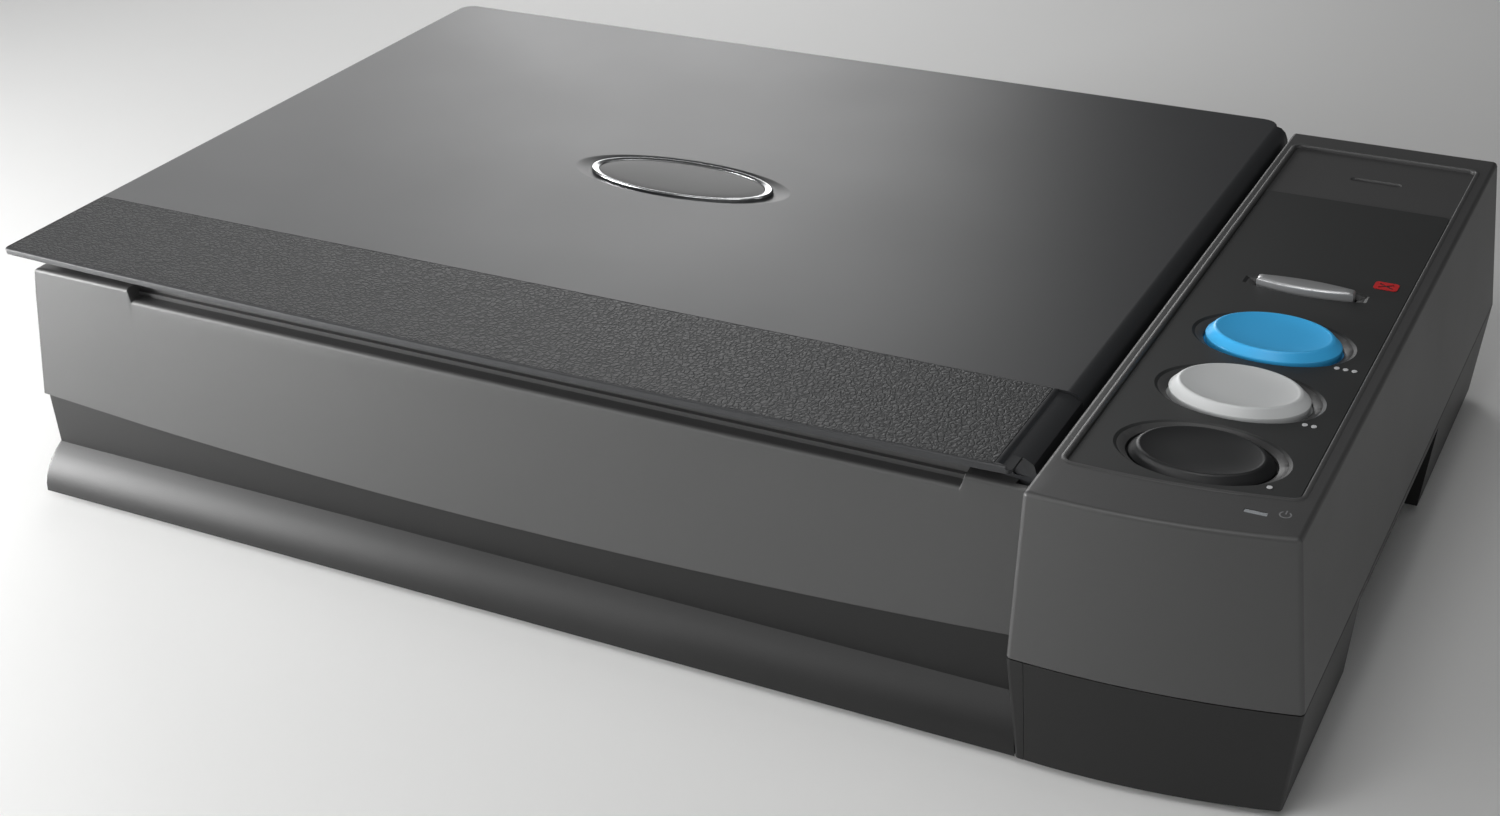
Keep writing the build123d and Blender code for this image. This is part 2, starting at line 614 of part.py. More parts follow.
def make_lid_pins():
    half = HEAD_W / 2 + GAP + EAR_W
    return Compound([rod(PIN_R, (PIVOT_Y, PIVOT_Z), x - half, x + half, "x") for x in HINGE_X])


# --- carriage -----------------------------------------------------------------------------------
def make_carriage_frame():
    """The carriage's open tray with its ribs, bush housings and lens block."""
    frame = block(CX, CARRIAGE_Y, CARRIAGE_Z)
    frame -= block((CX[0] + TRAY, CX[1] - TRAY), (CARRIAGE_Y[0] + TRAY, CARRIAGE_Y[1] - TRAY),
                   (CARRIAGE_Z[0] + TRAY, 90))
    for y in RIB_Y:
        frame += block((CX[0] + 1, CX[1] - 1), (y - 1, y + 1), (CARRIAGE_Z[0] + 1, CARRIAGE_Z[1]))
    for x in [CARRIAGE_X + x for x in BUSH_X]:
        frame += block((x - 6, x + 6), (ROD[0] - 8.5, ROD[0] + 8), (ROD[1] - 8, CARRIAGE_Z[0] + 1))
        frame -= rod(BUSH_R, ROD, x - 7, x + 7, "x")
    frame += block((CARRIAGE_X - 8, CARRIAGE_X + 8), (-22, -18), (CARRIAGE_Z[0] + 1, LENS[1]))
    return frame - rod(LENS_R, LENS, CARRIAGE_X - 10, CARRIAGE_X + 10, "x")


def make_mirrors():
    length = RIB_Y[1] - RIB_Y[0] - 2
    middle = (RIB_Y[0] + RIB_Y[1]) / 2
    return Compound([Pos(CARRIAGE_X + x, middle, z) * Rot(0, angle, 0) * Box(9, length, 1.5)
                     for x, z, angle in MIRROR_PLACES])


def make_carriage_lid():
    lid = block(CX, CARRIAGE_Y, (CARRIAGE_Z[1], CARRIAGE_Z[1] + 2))
    return lid - block((CARRIAGE_X - 4, CARRIAGE_X + 4), BAR_Y, (CARRIAGE_Z[1] - 1, CARRIAGE_Z[1] + 3))


def make_belt_clamp():
    """The block under the carriage whose slot grips one run of the belt."""
    x = (CARRIAGE_X, CARRIAGE_X + 12)
    middle = BELT_Y + BELT_IN_R + BELT_T / 2
    clamp = block(x, (middle - 4.5, middle + 4.5), (BELT_Z[0] - 0.1, CARRIAGE_Z[0]))
    half = BELT_T / 2 + 0.2
    slot = block((x[0] - 1, x[1] + 1), (middle - half, middle + half), (0, BELT_Z[1] + 0.3))
    return clamp - slot


def make_glide_pads():
    return Compound([block((CARRIAGE_X + x - 5, CARRIAGE_X + x + 5), (CARRIAGE_Y[0] + 0.5, -115.5),
                           (36.2, CARRIAGE_Z[0])) for x in BUSH_X])


# --- drive --------------------------------------------------------------------------------------
def make_belt():
    """The belt's loop round both pulleys."""
    span = PULLEY_X - IDLER_X
    centre = (PULLEY_X + IDLER_X) / 2
    outer = SlotCenterToCenter(span, 2 * (BELT_IN_R + BELT_T))
    inner = SlotCenterToCenter(span, 2 * BELT_IN_R)
    return prism(Pos(centre, BELT_Y) * (outer - inner), *BELT_Z)


def pulley_body(x, low):
    """A belt drum between two flanges."""
    centre = (x, BELT_Y)
    body = rod(BELT_IN_R - 0.1, centre, low, BELT_Z[1] + 1.5)
    body += rod(FLANGE_R, centre, BELT_Z[0] - 1.4, BELT_Z[0] - 0.3)
    return body + rod(FLANGE_R, centre, BELT_Z[1] + 0.4, BELT_Z[1] + 1.5)


def make_belt_pulley():
    wheel = Pos(PULLEY_X, BELT_Y, 0) * gear(GEAR_TEETH, GEAR_MODULE, *GEAR_Z, first=180 / GEAR_TEETH)
    wheel += pulley_body(PULLEY_X, GEAR_Z[1] - 1)
    return wheel - rod(AXLE_R + 0.05, (PULLEY_X, BELT_Y), 0, 30)


def make_motor_pinion():
    pinion = Pos(MOTOR_X, BELT_Y, 0) * gear(PINION_TEETH, GEAR_MODULE, GEAR_Z[0] - 0.5, GEAR_Z[1] + 0.5)
    return pinion + rod(1.5, (MOTOR_X, BELT_Y), GEAR_Z[1], 23.8)


def make_motor_bracket():
    plate = block((120.5, 180), (43.5, 96.5), BRACKET_Z)
    for leg in BRACKET_LEGS:
        plate += rod(3.0, leg, FLOOR, BRACKET_Z[0])
    plate -= rod(3.5, (MOTOR_X, BELT_Y), 20, 26)
    return plate - rod(AXLE_R, (PULLEY_X, BELT_Y), 20, 26)


def make_step_motor():
    can = rod(MOTOR_R, (MOTOR_X, BELT_Y), BRACKET_Z[1], MOTOR_TOP)
    ears = block((MOTOR_X - 22, MOTOR_X + 22), (BELT_Y - 4, BELT_Y + 4), (BRACKET_Z[1], BRACKET_Z[1] + 1))
    return can + ears - rod(1.8, (MOTOR_X, BELT_Y), BRACKET_Z[1] - 1, BRACKET_Z[1] + 2)


def make_idler_bracket():
    """The bracket round the idler, with a tab for the tension spring."""
    x = (-218, BRACKET_RIGHT)
    bracket = block(x, (53, 86), (FLOOR, 7.5)) + block(x, (53, 86), BRACKET_Z) + block(x, (53, 55), (7, 23))
    bracket += block((BRACKET_RIGHT - 2, BRACKET_RIGHT), (45, 55), (7, 18))
    return bracket - rod(AXLE_R, (IDLER_X, BELT_Y), 0, 30)


def make_spring():
    """A compression spring between the idler bracket's tab and a post on the floor."""
    length = SPRING_POST[0] - BRACKET_RIGHT - 2 * WIRE_R - 0.4
    start = (BRACKET_RIGHT + WIRE_R + 0.2, *SPRING_AXIS)
    coil = Helix(pitch=SPRING_PITCH, height=length, radius=SPRING_R, center=start, direction=(1, 0, 0))
    return sweep(Plane(origin=coil @ 0, z_dir=coil % 0) * Circle(WIRE_R), path=coil)


def make_flat_cable():
    """A ribbon laid on the floor that rises to the carriage at its home end."""
    y = (-25.0, -5.0)
    thick = 0.35
    run = block((-120, 144), y, (FLOOR, FLOOR + thick))
    run += block((144 - thick, 144), y, (FLOOR, 16.0))
    profile = make_face(Plane.XZ * Polyline((-120, FLOOR), (-120, FLOOR + thick), (-172, 43.4), (-172.4, 43.2),
                                            (-120.4, FLOOR), close=True))
    return run + Pos(0, y[1], 0) * extrude(profile, y[1] - y[0])


def make_main_board():
    """The controller board with its chips and the cable's socket."""
    board = block(*MAIN_BOARD)
    top = MAIN_BOARD[2][1]
    for post in BOARD_POSTS:
        board -= rod(1.3, post, top - 3, top + 2)
    chips = [((158, 172), (-30, -16), 2.0), ((158, 176), (2, 20), 1.6), ((174, 183), (-46, -38), 2.6)]
    for x, y, height in chips:
        board += block(x, y, (top, top + height))
    return board + block((150, 154), (-26, -4), (top, 17.5))


def make_port_board():
    board = block(*PORT_BOARD)
    return board - rod(1.3, PORT_POSTS[0], 40, 50) - rod(1.3, PORT_POSTS[1], 40, 50)


def make_usb_socket():
    """A square data socket with its tongue, open to the rear."""
    shell = block(USB_X, (112, REAR - 0.2), USB_Z)
    shell -= block((157.5, 166.5), (122, REAR + 1), (47.3, 55.0))
    return shell + block((159.5, 164.5), (121, REAR - 5), (49.6, 52.4))


def make_power_jack():
    """A round low-voltage power inlet with its centre pin."""
    body = block((177, 188), (112, REAR - WALL - 0.2), (PORT_BOARD[2][1], 57.2))
    body += rod(JACK_R, JACK, 125, REAR - 0.2, "y")
    body -= rod(3.2, JACK, 124, REAR + 1, "y")
    return body + rod(1.0, JACK, 123, REAR - 1.5, "y")


def make_screw_group(places, head_r, head, shaft_r, top):
    return Compound([rod(head_r, place, *head) + rod(shaft_r, place, head[1], top) for place in places])


def make_rod_holders():
    holders = []
    for x, rod_from in (((-219.5, -217), -218.5), ((135, 139), 134)):
        body = block(x, (ROD[0] - 7, ROD[0] + 7), (FLOOR, ROD[1] + 6))
        holders.append(body - rod(ROD_R, ROD, rod_from, x[1] + 1, "x"))
    return Compound(holders)


def build():
    keep("upper_housing", make_upper_housing())
    keep("lower_housing", make_lower_housing())
    keep("column_foot_cover", make_foot_cover())
    keep("control_housing", make_control_housing())
    keep("control_label", make_label())
    keep("label_marks", make_marks())
    keep("cancel_mark", make_cancel_mark())
    keep("led_window", block(LED_X, LED_Y, (90, COLUMN_TOP - 0.1)))
    keep("power_led", rod(1.5, (205.8, -126), BOARD_TOP, 89.8))
    keep("control_board", block((158, 210), (-129, 30), (BOARD_Z, BOARD_TOP)))
    keep("key_switches", make_key_switches())
    for name, (y, top) in OVAL_BUTTONS.items():
        keep(name, make_oval_button(y, top))
    keep("silver_button", make_slim_button())

    keep("platen_glass", block((GLASS_X[0] + 0.2, GLASS_X[1] - 0.2), (GLASS_Y[0] + 0.2, GLASS_Y[1] - 0.2),
                               (DECK - 3, DECK - 3 + GLASS_T)))
    keep("calibration_strip", block((-201.5, -193), (-115, 99), (DECK - 3.3, DECK - 3)))

    keep("lid_shell", make_lid_shell())
    keep("lid_grip_strip", make_grip_strip())
    keep("badge_ring", make_badge_ring())
    keep("badge_plate", make_badge_plate())
    keep("lid_inner_panel", make_lid_inner_panel())
    keep("lid_mat", block((-200, 112), (-117, 102), (DECK + 0.1, LID_UNDER)))
    keep("lid_screws", make_lid_screws())
    keep("lid_hinge_ears", make_lid_ears())
    keep("lid_hinge_pins", make_lid_pins())
    for side, x in zip(("left", "right"), HINGE_X):
        keep("hinge_post_" + side, make_hinge_post(x))
    keep("hinge_sockets", Compound([make_hinge_socket(x) for x in HINGE_X]))

    keep("carriage_frame", make_carriage_frame())
    keep("carriage_lid", make_carriage_lid())
    keep("light_bar", block((CARRIAGE_X - 14, CARRIAGE_X - 8), BAR_Y, (CARRIAGE_Z[1] + 2, CARRIAGE_Z[1] + 3)))
    keep("light_lens", block((CARRIAGE_X - 13, CARRIAGE_X - 9), (BAR_Y[0] + 1, BAR_Y[1] - 1),
                             (CARRIAGE_Z[1] + 3, CARRIAGE_Z[1] + 3.8)))
    keep("mirrors", make_mirrors())
    keep("scan_lens", rod(LENS_R, LENS, CARRIAGE_X - 8, CARRIAGE_X + 12, "x"))
    keep("sensor_board", block((CX[1], CX[1] + 1.6), (-55, 15), (48, 74)))
    keep("carriage_bushes", Compound([rod(BUSH_R, ROD, CARRIAGE_X + x - 6, CARRIAGE_X + x + 6, "x")
                                      - rod(ROD_R + 0.05, ROD, CARRIAGE_X + x - 8, CARRIAGE_X + x + 8, "x")
                                      for x in BUSH_X]))
    keep("belt_clamp", make_belt_clamp())
    keep("glide_pads", make_glide_pads())

    keep("guide_rod", rod(ROD_R, ROD, -218.5, 139, "x"))
    keep("rod_holders", make_rod_holders())
    keep("side_rail", block((-219, 138), (-124, -115), (33, 36))
         + block((-219, 138), (-124, -122), (FLOOR, 34)))
    keep("drive_belt", make_belt())
    keep("belt_pulley", make_belt_pulley())
    keep("drive_axles", Compound([rod(AXLE_R, (x, BELT_Y), FLOOR, AXLE_TOP) for x in (IDLER_X, PULLEY_X)]))
    keep("idler_pulley", pulley_body(IDLER_X, BELT_Z[0] - 1.4) - rod(AXLE_R + 0.05, (IDLER_X, BELT_Y), 0, 30))
    keep("idler_bracket", make_idler_bracket())
    keep("tension_spring", make_spring())
    keep("motor_pinion", make_motor_pinion())
    keep("motor_bracket", make_motor_bracket())
    keep("step_motor", make_step_motor())
    keep("home_sensor", block((-219, -212), (-8, 2), (FLOOR, 40)) - block((-220, -214), (-5, -1), (34, 41)))
    keep("main_board", make_main_board())
    keep("board_screws", Compound([rod(2.4, post, MAIN_BOARD[2][1], 15.2) + rod(1.2, post, *MAIN_BOARD[2])
                                   for post in BOARD_POSTS]))
    keep("flat_cable", make_flat_cable())
    keep("port_board", make_port_board())
    keep("usb_socket", make_usb_socket())
    keep("power_jack", make_power_jack())
    keep("rubber_feet", Compound([rod(FOOT_R, place, 0, FOOT) for place in FEET]))
    keep("housing_screws", make_screw_group(SCREW_PLACES, 3.0, (FOOT + 0.2, FOOT + 1.2), 1.5, 30))


build()
os.makedirs("parts", exist_ok=True)
for name, shape in nodes.items():
    export_step(shape, f"parts/{name}.step")
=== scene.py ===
import json
from math import cos, pi, radians, sin, tan, tau

import bmesh
import bpy
from mathutils import Matrix, Vector


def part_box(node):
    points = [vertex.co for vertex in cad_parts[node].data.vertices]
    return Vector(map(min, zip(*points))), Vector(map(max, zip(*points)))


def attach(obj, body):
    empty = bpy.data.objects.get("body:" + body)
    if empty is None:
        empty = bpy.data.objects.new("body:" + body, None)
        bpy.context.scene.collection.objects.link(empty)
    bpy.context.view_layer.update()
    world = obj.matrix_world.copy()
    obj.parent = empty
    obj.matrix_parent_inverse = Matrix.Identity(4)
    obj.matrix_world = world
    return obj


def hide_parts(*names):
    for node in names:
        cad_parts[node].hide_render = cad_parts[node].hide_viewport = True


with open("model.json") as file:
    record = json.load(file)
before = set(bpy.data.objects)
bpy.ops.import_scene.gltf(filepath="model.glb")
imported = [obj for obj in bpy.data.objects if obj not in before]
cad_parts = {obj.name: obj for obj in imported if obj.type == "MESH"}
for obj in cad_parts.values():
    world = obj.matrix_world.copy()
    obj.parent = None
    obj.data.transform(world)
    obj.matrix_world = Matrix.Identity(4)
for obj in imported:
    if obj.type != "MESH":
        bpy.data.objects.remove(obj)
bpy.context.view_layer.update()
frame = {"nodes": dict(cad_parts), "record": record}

# A flatbed scanner with a book edge: its visible shells, lid, panel and buttons are made here around the
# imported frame, and its inner pieces keep their shape and get their finish. Lengths are in millimetres and
# become metres as a mesh is written. X runs to the right, Y to the rear, Z up.

MM = 0.001


def span(node):
    """A CAD node's lowest and highest corner, in millimetres."""
    low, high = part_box(node)
    return low / MM, high / MM


# --- sizes read from the frame ---
HOUSING_LOW, HOUSING_HIGH = span("upper_housing")
COLUMN_LOW, COLUMN_HIGH = span("control_housing")
LID_LOW, LID_HIGH = span("lid_shell")
STRIP_HIGH = span("lid_grip_strip")[1]
GLASS_LOW, GLASS_HIGH = span("platen_glass")
LABEL_LOW, LABEL_HIGH = span("control_label")
WINDOW_LOW, WINDOW_HIGH = span("led_window")
RING_LOW, RING_HIGH = span("badge_ring")
BELT_LOW, BELT_HIGH = span("drive_belt")
BELT_REACH = (BELT_HIGH.y - BELT_LOW.y) / 2
DECK = HOUSING_HIGH.z
REAR = HOUSING_HIGH.y
COLUMN_TOP = COLUMN_HIGH.z
PARTING = COLUMN_LOW.z
LID_TOP = LID_HIGH.z

# --- sizes of the mouldings ---
WALL = 2.5
GAP = 0.3  # between the platen housing and the column
ARC_STEPS = 8  # faces round each corner of a bowed outline
DROOP = 4.5  # how far the fascia's lower edge sags at mid width
FOOT = 3.0
COLUMN_LEVELS = {  # left, right, front left corner and front right corner at each height
    FOOT: (145.3, 222.0, -139.0, -131.4),
    PARTING: (142.9, 225.9, -142.0, -134.6),
    COLUMN_TOP: (146.2, 220.2, -140.9, -134.3),
}
COLUMN_BULGE = 3.0
COLUMN_CORNER = 1.5
COLUMN_CREASE = 1.4  # radius where the column's walls turn into its top
FASCIA_LOW = (-223.8, -131.2, 3.5)  # left end, front face and forward bow
FASCIA_TOP = (-217.8, -128.3, 0.5)
END_FACE = 1.0  # width of the small faces at the housing's ends
SAG_LEFT = -240.0
HEM = (0.35, 0.3)  # how far the lower edge turns in, and how high
HOUSING_ROLL = 1.5
LEFT_SHELF = 10.5
REAR_SHELF = 2.4
NOTCH_X = (-177.0, 124.5)
NOTCH_DEPTH = 4.0
NOTCH_SLOPE = 1.5
NOTCH_BACK = -122.5
DECK_FRONT = -126.6
CHANNEL = (139.0, 5.5)  # left wall and depth of the channel beside the platen
POCKET_X = (-160.0, 80.0)
POCKET_HALF = 18.2
POCKET_BACK = 115.8
POCKET_DEPTH = 8.5

LID_X = (-224.5, 139.8)
LID_FRONT = -133.0
LID_BOW = 2.5
ROLL_OUT = LID_HIGH.x - LID_X[1]
ROLL_FRONT = -124.5
ROLL_REAR = 136.4
STRIP_RIM = 0.9  # smooth rim left between the grained strip and the lip's edge
STRIP_DEPTH = 0.8

PANEL_X = (150.8, 214.7)
PANEL_FRONT = (-120.4, -114.6)
PANEL_REAR = 125.0
PANEL_BOW = 2.2
PANEL_CORNER = 2.2
PANEL_FLOOR = LABEL_LOW.z
GROOVE = (9.0, 1.6)  # half length and half width of the groove behind the film
UNDERSIDE = 91.0  # of the column's roof
BUTTON_X = 183.5
OVAL = (20.8, 14.5)
WELL_EXTRA = 0.7
WELL_CONE = (3.6, 1.2)
WELL_FOOT = LABEL_HIGH.z - 1.7
SLIM = (31.0, 7.0)
BLUNT = 0.45  # width of the slim button's ends, as a share of its middle
KEY_HEM = (UNDERSIDE - 2.1, UNDERSIDE - 0.3)  # bottom and top of the flange under each key
OVAL_CROWN = [(0.0, 2.7), (-0.12, 2.5), (-0.35, 2.35), (-2.2, 0.45), (-2.5, 0.2), (-2.9, 0.04), (-3.3, 0.0),
              (-3.7, 0.05), (-4.2, 0.2), (-7.0, 0.5), (-10.0, 0.68), (-13.0, 0.78)]  # growth and drop
SLIM_CROWN = [(0.0, 1.1), (-0.12, 0.75), (-0.45, 0.4), (-0.9, 0.2), (-1.8, 0.06), (-2.9, 0.0)]
BADGE = ((RING_LOW.x + RING_HIGH.x) / 2, (RING_LOW.y + RING_HIGH.y) / 2)
BADGE_DISH = (43.0, 16.5)
JACK = (182.5, 51.6)  # X and Z of the power inlet's axis
JACK_R = 4.5
POWER_MARK = (213.2, -124.2)
MARK_R = (1.7, 1.3)
SCREW_PLACES = [(-200, -100), (-206, 40), (-30, -105), (-30, 120),
                (125, -105), (125, 120), (205, 60), (205, 122)]
BOARD_POSTS = [(153.5, -56), (182.5, -56), (153.5, 36), (182.5, 36)]
LID_SCREWS = [(-207, -113.5), (-207, 125), (131, -113.5), (131, 125)]
FEET = [(-205, -118), (-205, 120), (205, 125), (205, -118)]
FOOT_R = 8.0
BELT_PITCH = 2.03
BELT_THICK = 0.8
SPRING_WIRE = 0.45
SPRING_PITCH = 3.2


def blend(a, b, t):
    """The value a share t of the way from a to b."""
    return a + (b - a) * t


def arch(x, x0, x1):
    """A parabola over a span: one at its middle, nothing at its ends."""
    return 1 - ((x - (x0 + x1) / 2) / ((x1 - x0) / 2)) ** 2


def level(table, z):
    """The row of values at a height, from a table of heights."""
    heights = sorted(table)
    low, high = heights[:2] if z <= heights[1] else heights[1:]
    share = (z - low) / (high - low)
    return [blend(a, b, share) for a, b in zip(table[low], table[high])]


# --- outlines ---
def rounded(corners, steps=6):
    """A closed outline through corners given as (x, y, radius), each rounded to an arc."""
    points = []
    for i, (x, y, radius) in enumerate(corners):
        corner = Vector((x, y))
        to_last = (Vector(corners[i - 1][:2]) - corner).normalized()
        to_next = (Vector(corners[(i + 1) % len(corners)][:2]) - corner).normalized()
        half = to_last.angle(to_next) / 2
        centre = corner + (to_last + to_next).normalized() * radius / sin(half)
        start = corner + to_last * radius / tan(half) - centre
        turn = (corner + to_next * radius / tan(half) - centre).angle_signed(start)
        points += [centre + Matrix.Rotation(turn * k / steps, 2) @ start for k in range(steps + 1)]
    return [tuple(p) for p in points]


def rect(x0, y0, x1, y1, radius, steps):
    """A rectangle with rounded corners, from its first corner."""
    return rounded([(x0, y0, radius), (x1, y0, radius), (x1, y1, radius), (x0, y1, radius)], steps)


def bowed(x0, x1, left_y, right_y, rear, bow, front_r, rear_r=None, run=32):
    """A four-sided outline, from its front left corner round by the right, with its front bowed forward."""
    rear_r = front_r if rear_r is None else rear_r
    inner = 2 * front_r / (x1 - x0)
    plain = rounded([(x0, left_y, front_r), (x1, right_y, front_r), (x1, rear, rear_r), (x0, rear, rear_r)],
                    ARC_STEPS)
    front = [(blend(x0, x1, u), blend(left_y, right_y, u))
             for u in [blend(inner, 1 - inner, k / run) for k in range(run + 1)]]
    arc = ARC_STEPS + 1
    whole = plain[:arc] + front + plain[arc:]
    reach = arc + run + 1 + arc
    return [(x, y - bow * arch(x, x0, x1) * (i < reach)) for i, (x, y) in enumerate(whole)]


def ellipse(rx, ry, centre, count=96):
    turns = [tau * k / count for k in range(count)]
    return [(centre[0] + rx * cos(a), centre[1] + ry * sin(a)) for a in turns]


def boat(grow_x, grow_y, centre, count=24):
    """The slim button's outline: two shallow arcs between blunt ends."""
    half, width = SLIM[0] / 2 + grow_x, SLIM[1] / 2 + grow_y
    bank = [(u, -width * (1 - (1 - BLUNT) * (u / half) ** 2)) for u in
            [half * (2 * k / count - 1) for k in range(count + 1)]]
    far = [(-u, -v) for u, v in bank]
    return [(centre[0] + u, centre[1] + v) for u, v in bank + far]


def at(outline, z):
    """A flat outline lifted to a height."""
    return [(x, y, z) for x, y in outline]


def column_outline(z, inset=0.0):
    x0, x1, left_y, right_y = level(COLUMN_LEVELS, z)
    return bowed(x0 + inset, x1 - inset, left_y + inset, right_y + inset, REAR - inset, COLUMN_BULGE,
                 max(COLUMN_CORNER - inset, 0.5))


def panel_outline(rear, inset):
    return bowed(PANEL_X[0] + inset, PANEL_X[1] - inset, PANEL_FRONT[0] + inset, PANEL_FRONT[1] + inset,
                 rear - inset, PANEL_BOW, max(PANEL_CORNER - inset, 0.4), run=20)


def round_over(radius, steps=5):
    """Pairs of inset and drop that roll a wall's outer face over into a flat top."""
    return [(radius * (1 - cos(pi / 2 * k / steps)), radius * (1 - sin(pi / 2 * k / steps)))
            for k in range(steps + 1)]


# --- making pieces ---
class Skin:
    """A piece's surface while it is made: rings of points joined by faces. Equal points are shared."""

    def __init__(self):
        self.mesh = bmesh.new()
        self.known = {}

    def point(self, place):
        key = tuple(round(v, 3) for v in place)
        if key not in self.known:
            self.known[key] = self.mesh.verts.new(Vector(place) * MM)
        return self.known[key]

    def ring(self, places):
        return [self.point(p) for p in places]

    def face(self, corners):
        unique = list(dict.fromkeys(corners))
        if len(unique) > 2 and not self.mesh.faces.get(unique):
            self.mesh.faces.new(unique)

    def join(self, *rings, gap=None):
        """Faces between each ring and the next; a gap is the number of the one side left open."""
        for a, b in zip(rings, rings[1:]):
            for i in range(len(a)):
                j = (i + 1) % len(a)
                if i != gap:
                    self.face((a[i], a[j], b[j], b[i]))

    def loft(self, *outlines):
        """Joins outlines one after another and returns the first and last as rings."""
        rings = [self.ring(outline) for outline in outlines]
        self.join(*rings)
        return rings[0], rings[-1]

    def fill(self, *rings):
        """A flat face inside the first ring, with the other rings as holes in it."""
        edges = []
        for ring in rings:
            for a, b in zip(ring, ring[1:] + ring[:1]):
                if a is not b:
                    edges.append(self.mesh.edges.get((a, b)) or self.mesh.edges.new((a, b)))
        bmesh.ops.triangle_fill(self.mesh, edges=list(dict.fromkeys(edges)), use_beauty=True)

    def cap(self, ring, middle):
        """Closes a ring with a fan to its middle point."""
        tip = self.point(middle)
        for a, b in zip(ring, ring[1:] + ring[:1]):
            self.face((a, b, tip))

    def done(self):
        bmesh.ops.recalc_face_normals(self.mesh, faces=self.mesh.faces)
        mesh = bpy.data.meshes.new("skin")
        self.mesh.to_mesh(mesh)
        self.mesh.free()
        return mesh


def set_out(name, data):
    """A new object in the scene."""
    thing = bpy.data.objects.new(name, data)
    bpy.context.scene.collection.objects.link(thing)
    return thing


def finish_piece(name, mesh, body, slot, replaces=(), sharp=32, bevel=0.0, finish=None):
    """Shades a mesh, gives it its slot's finish or another and hangs it on its body."""
    mesh.name = name
    for polygon in mesh.polygons:
        polygon.use_smooth = True
    piece = set_out(name, mesh)
    if not mesh.materials:
        mesh.materials.append(finishes[finish or slot])
    if bevel:
        edge = piece.modifiers.new("soft edges", "BEVEL")
        edge.width = bevel * MM
        edge.segments = 2
        edge.limit_method = "ANGLE"
        edge.angle_limit = radians(sharp)
        edge.use_clamp_overlap = True
        edge.miter_outer = "MITER_ARC"
    else:
        mesh.set_sharp_from_angle(angle=radians(sharp))
    piece.modifiers.new("flat faces lead", "WEIGHTED_NORMAL").keep_sharp = True
    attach(piece, body)
    if replaces:
        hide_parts(*replaces)


def soften(node, bevel):
    """A smooth-edged copy of a CAD node that stands for it."""
    source = frame["nodes"][node].data
    bare = bpy.data.meshes.new(node)
    bare.from_pydata([v.co for v in source.vertices], [], [list(p.vertices) for p in source.polygons])
    work = bmesh.new()
    work.from_mesh(bare)
    bmesh.ops.remove_doubles(work, verts=work.verts, dist=0.01 * MM)
    bmesh.ops.dissolve_limit(work, angle_limit=radians(1), verts=work.verts, edges=work.edges)
    work.to_mesh(bare)
    work.free()
    finish_piece("soft_" + node, bare, bodies[node], slots[node], [node], bevel=bevel)


# --- finishes ---
def colour(code):
    """A linear colour from an sRGB hex code."""
    values = [int(code[i:i + 2], 16) / 255 for i in (1, 3, 5)]
    return [v / 12.92 if v <= 0.04045 else ((v + 0.055) / 1.055) ** 2.4 for v in values] + [1.0]


def add(tree, kind, inputs=(), **settings):
    """One node with its settings; an input is a value or another node's output."""
    node = tree.nodes.new(kind)
    for key, value in settings.items():
        setattr(node, key, value)
    for key, value in dict(inputs).items():
        if isinstance(value, bpy.types.NodeSocket):
            tree.links.new(value, node.inputs[key])
        else:
            node.inputs[key].default_value = value
    return node


def start(name, roughness, **shader):
    """A material with its shader, its tree and the place on the piece that its patterns read."""
    material = bpy.data.materials.new(name)
    material.use_nodes = True
    tree = material.node_tree
    tree.nodes.clear()
    values = {key.replace("_", " "): value for key, value in shader.items()}
    surface = add(tree, "ShaderNodeBsdfPrincipled", {"Roughness": roughness, **values})
    add(tree, "ShaderNodeOutputMaterial", {"Surface": surface.outputs[0]})
    place = add(tree, "ShaderNodeTexCoord").outputs["Object"]
    return material, tree, surface, place


def tint(tree, surface, share, dark, light):
    """Lets a pattern move the colour between two close shades."""
    mix = add(tree, "ShaderNodeMix", {0: share, 6: colour(dark), 7: colour(light)}, data_type="RGBA")
    tree.links.new(mix.outputs[2], surface.inputs["Base Color"])


def relief(tree, surface, height, depth_mm):
    bump = add(tree, "ShaderNodeBump", {"Height": height, "Distance": depth_mm * MM})
    tree.links.new(bump.outputs[0], surface.inputs["Normal"])


def spread(tree, value, low, high):
    """A pattern's 0 to 1 turned into another range."""
    return add(tree, "ShaderNodeMapRange", {"Value": value, "To Min": low, "To Max": high}).outputs[0]


# Most real grain here is finer than 0.1 mm; it is drawn several times coarser so that it can show.
PATCH_SCALE = 14.0  # patches about 70 mm wide in which the gloss differs a little


def speckled(name, dark, light, roughness, grain_mm, depth_mm, gloss_change=0.06, **shader):
    """A moulded, printed or painted face: a fine even grain breaks up its gloss."""
    material, tree, surface, place = start(name, roughness, **shader)
    grain = add(tree, "ShaderNodeTexNoise", {"Vector": place, "Scale": 1 / (grain_mm * MM), "Detail": 2.0,
                                            "Roughness": 0.6}).outputs[0]
    cloud = add(tree, "ShaderNodeTexNoise", {"Vector": place, "Scale": PATCH_SCALE, "Detail": 3.0}).outputs[0]
    both = add(tree, "ShaderNodeMath", {0: grain, 1: cloud}, operation="ADD").outputs[0]
    tint(tree, surface, spread(tree, both, -0.9, 1.9), dark, light)
    tree.links.new(spread(tree, cloud, roughness - gloss_change, roughness + gloss_change),
                   surface.inputs["Roughness"])
    relief(tree, surface, grain, depth_mm)
    return material


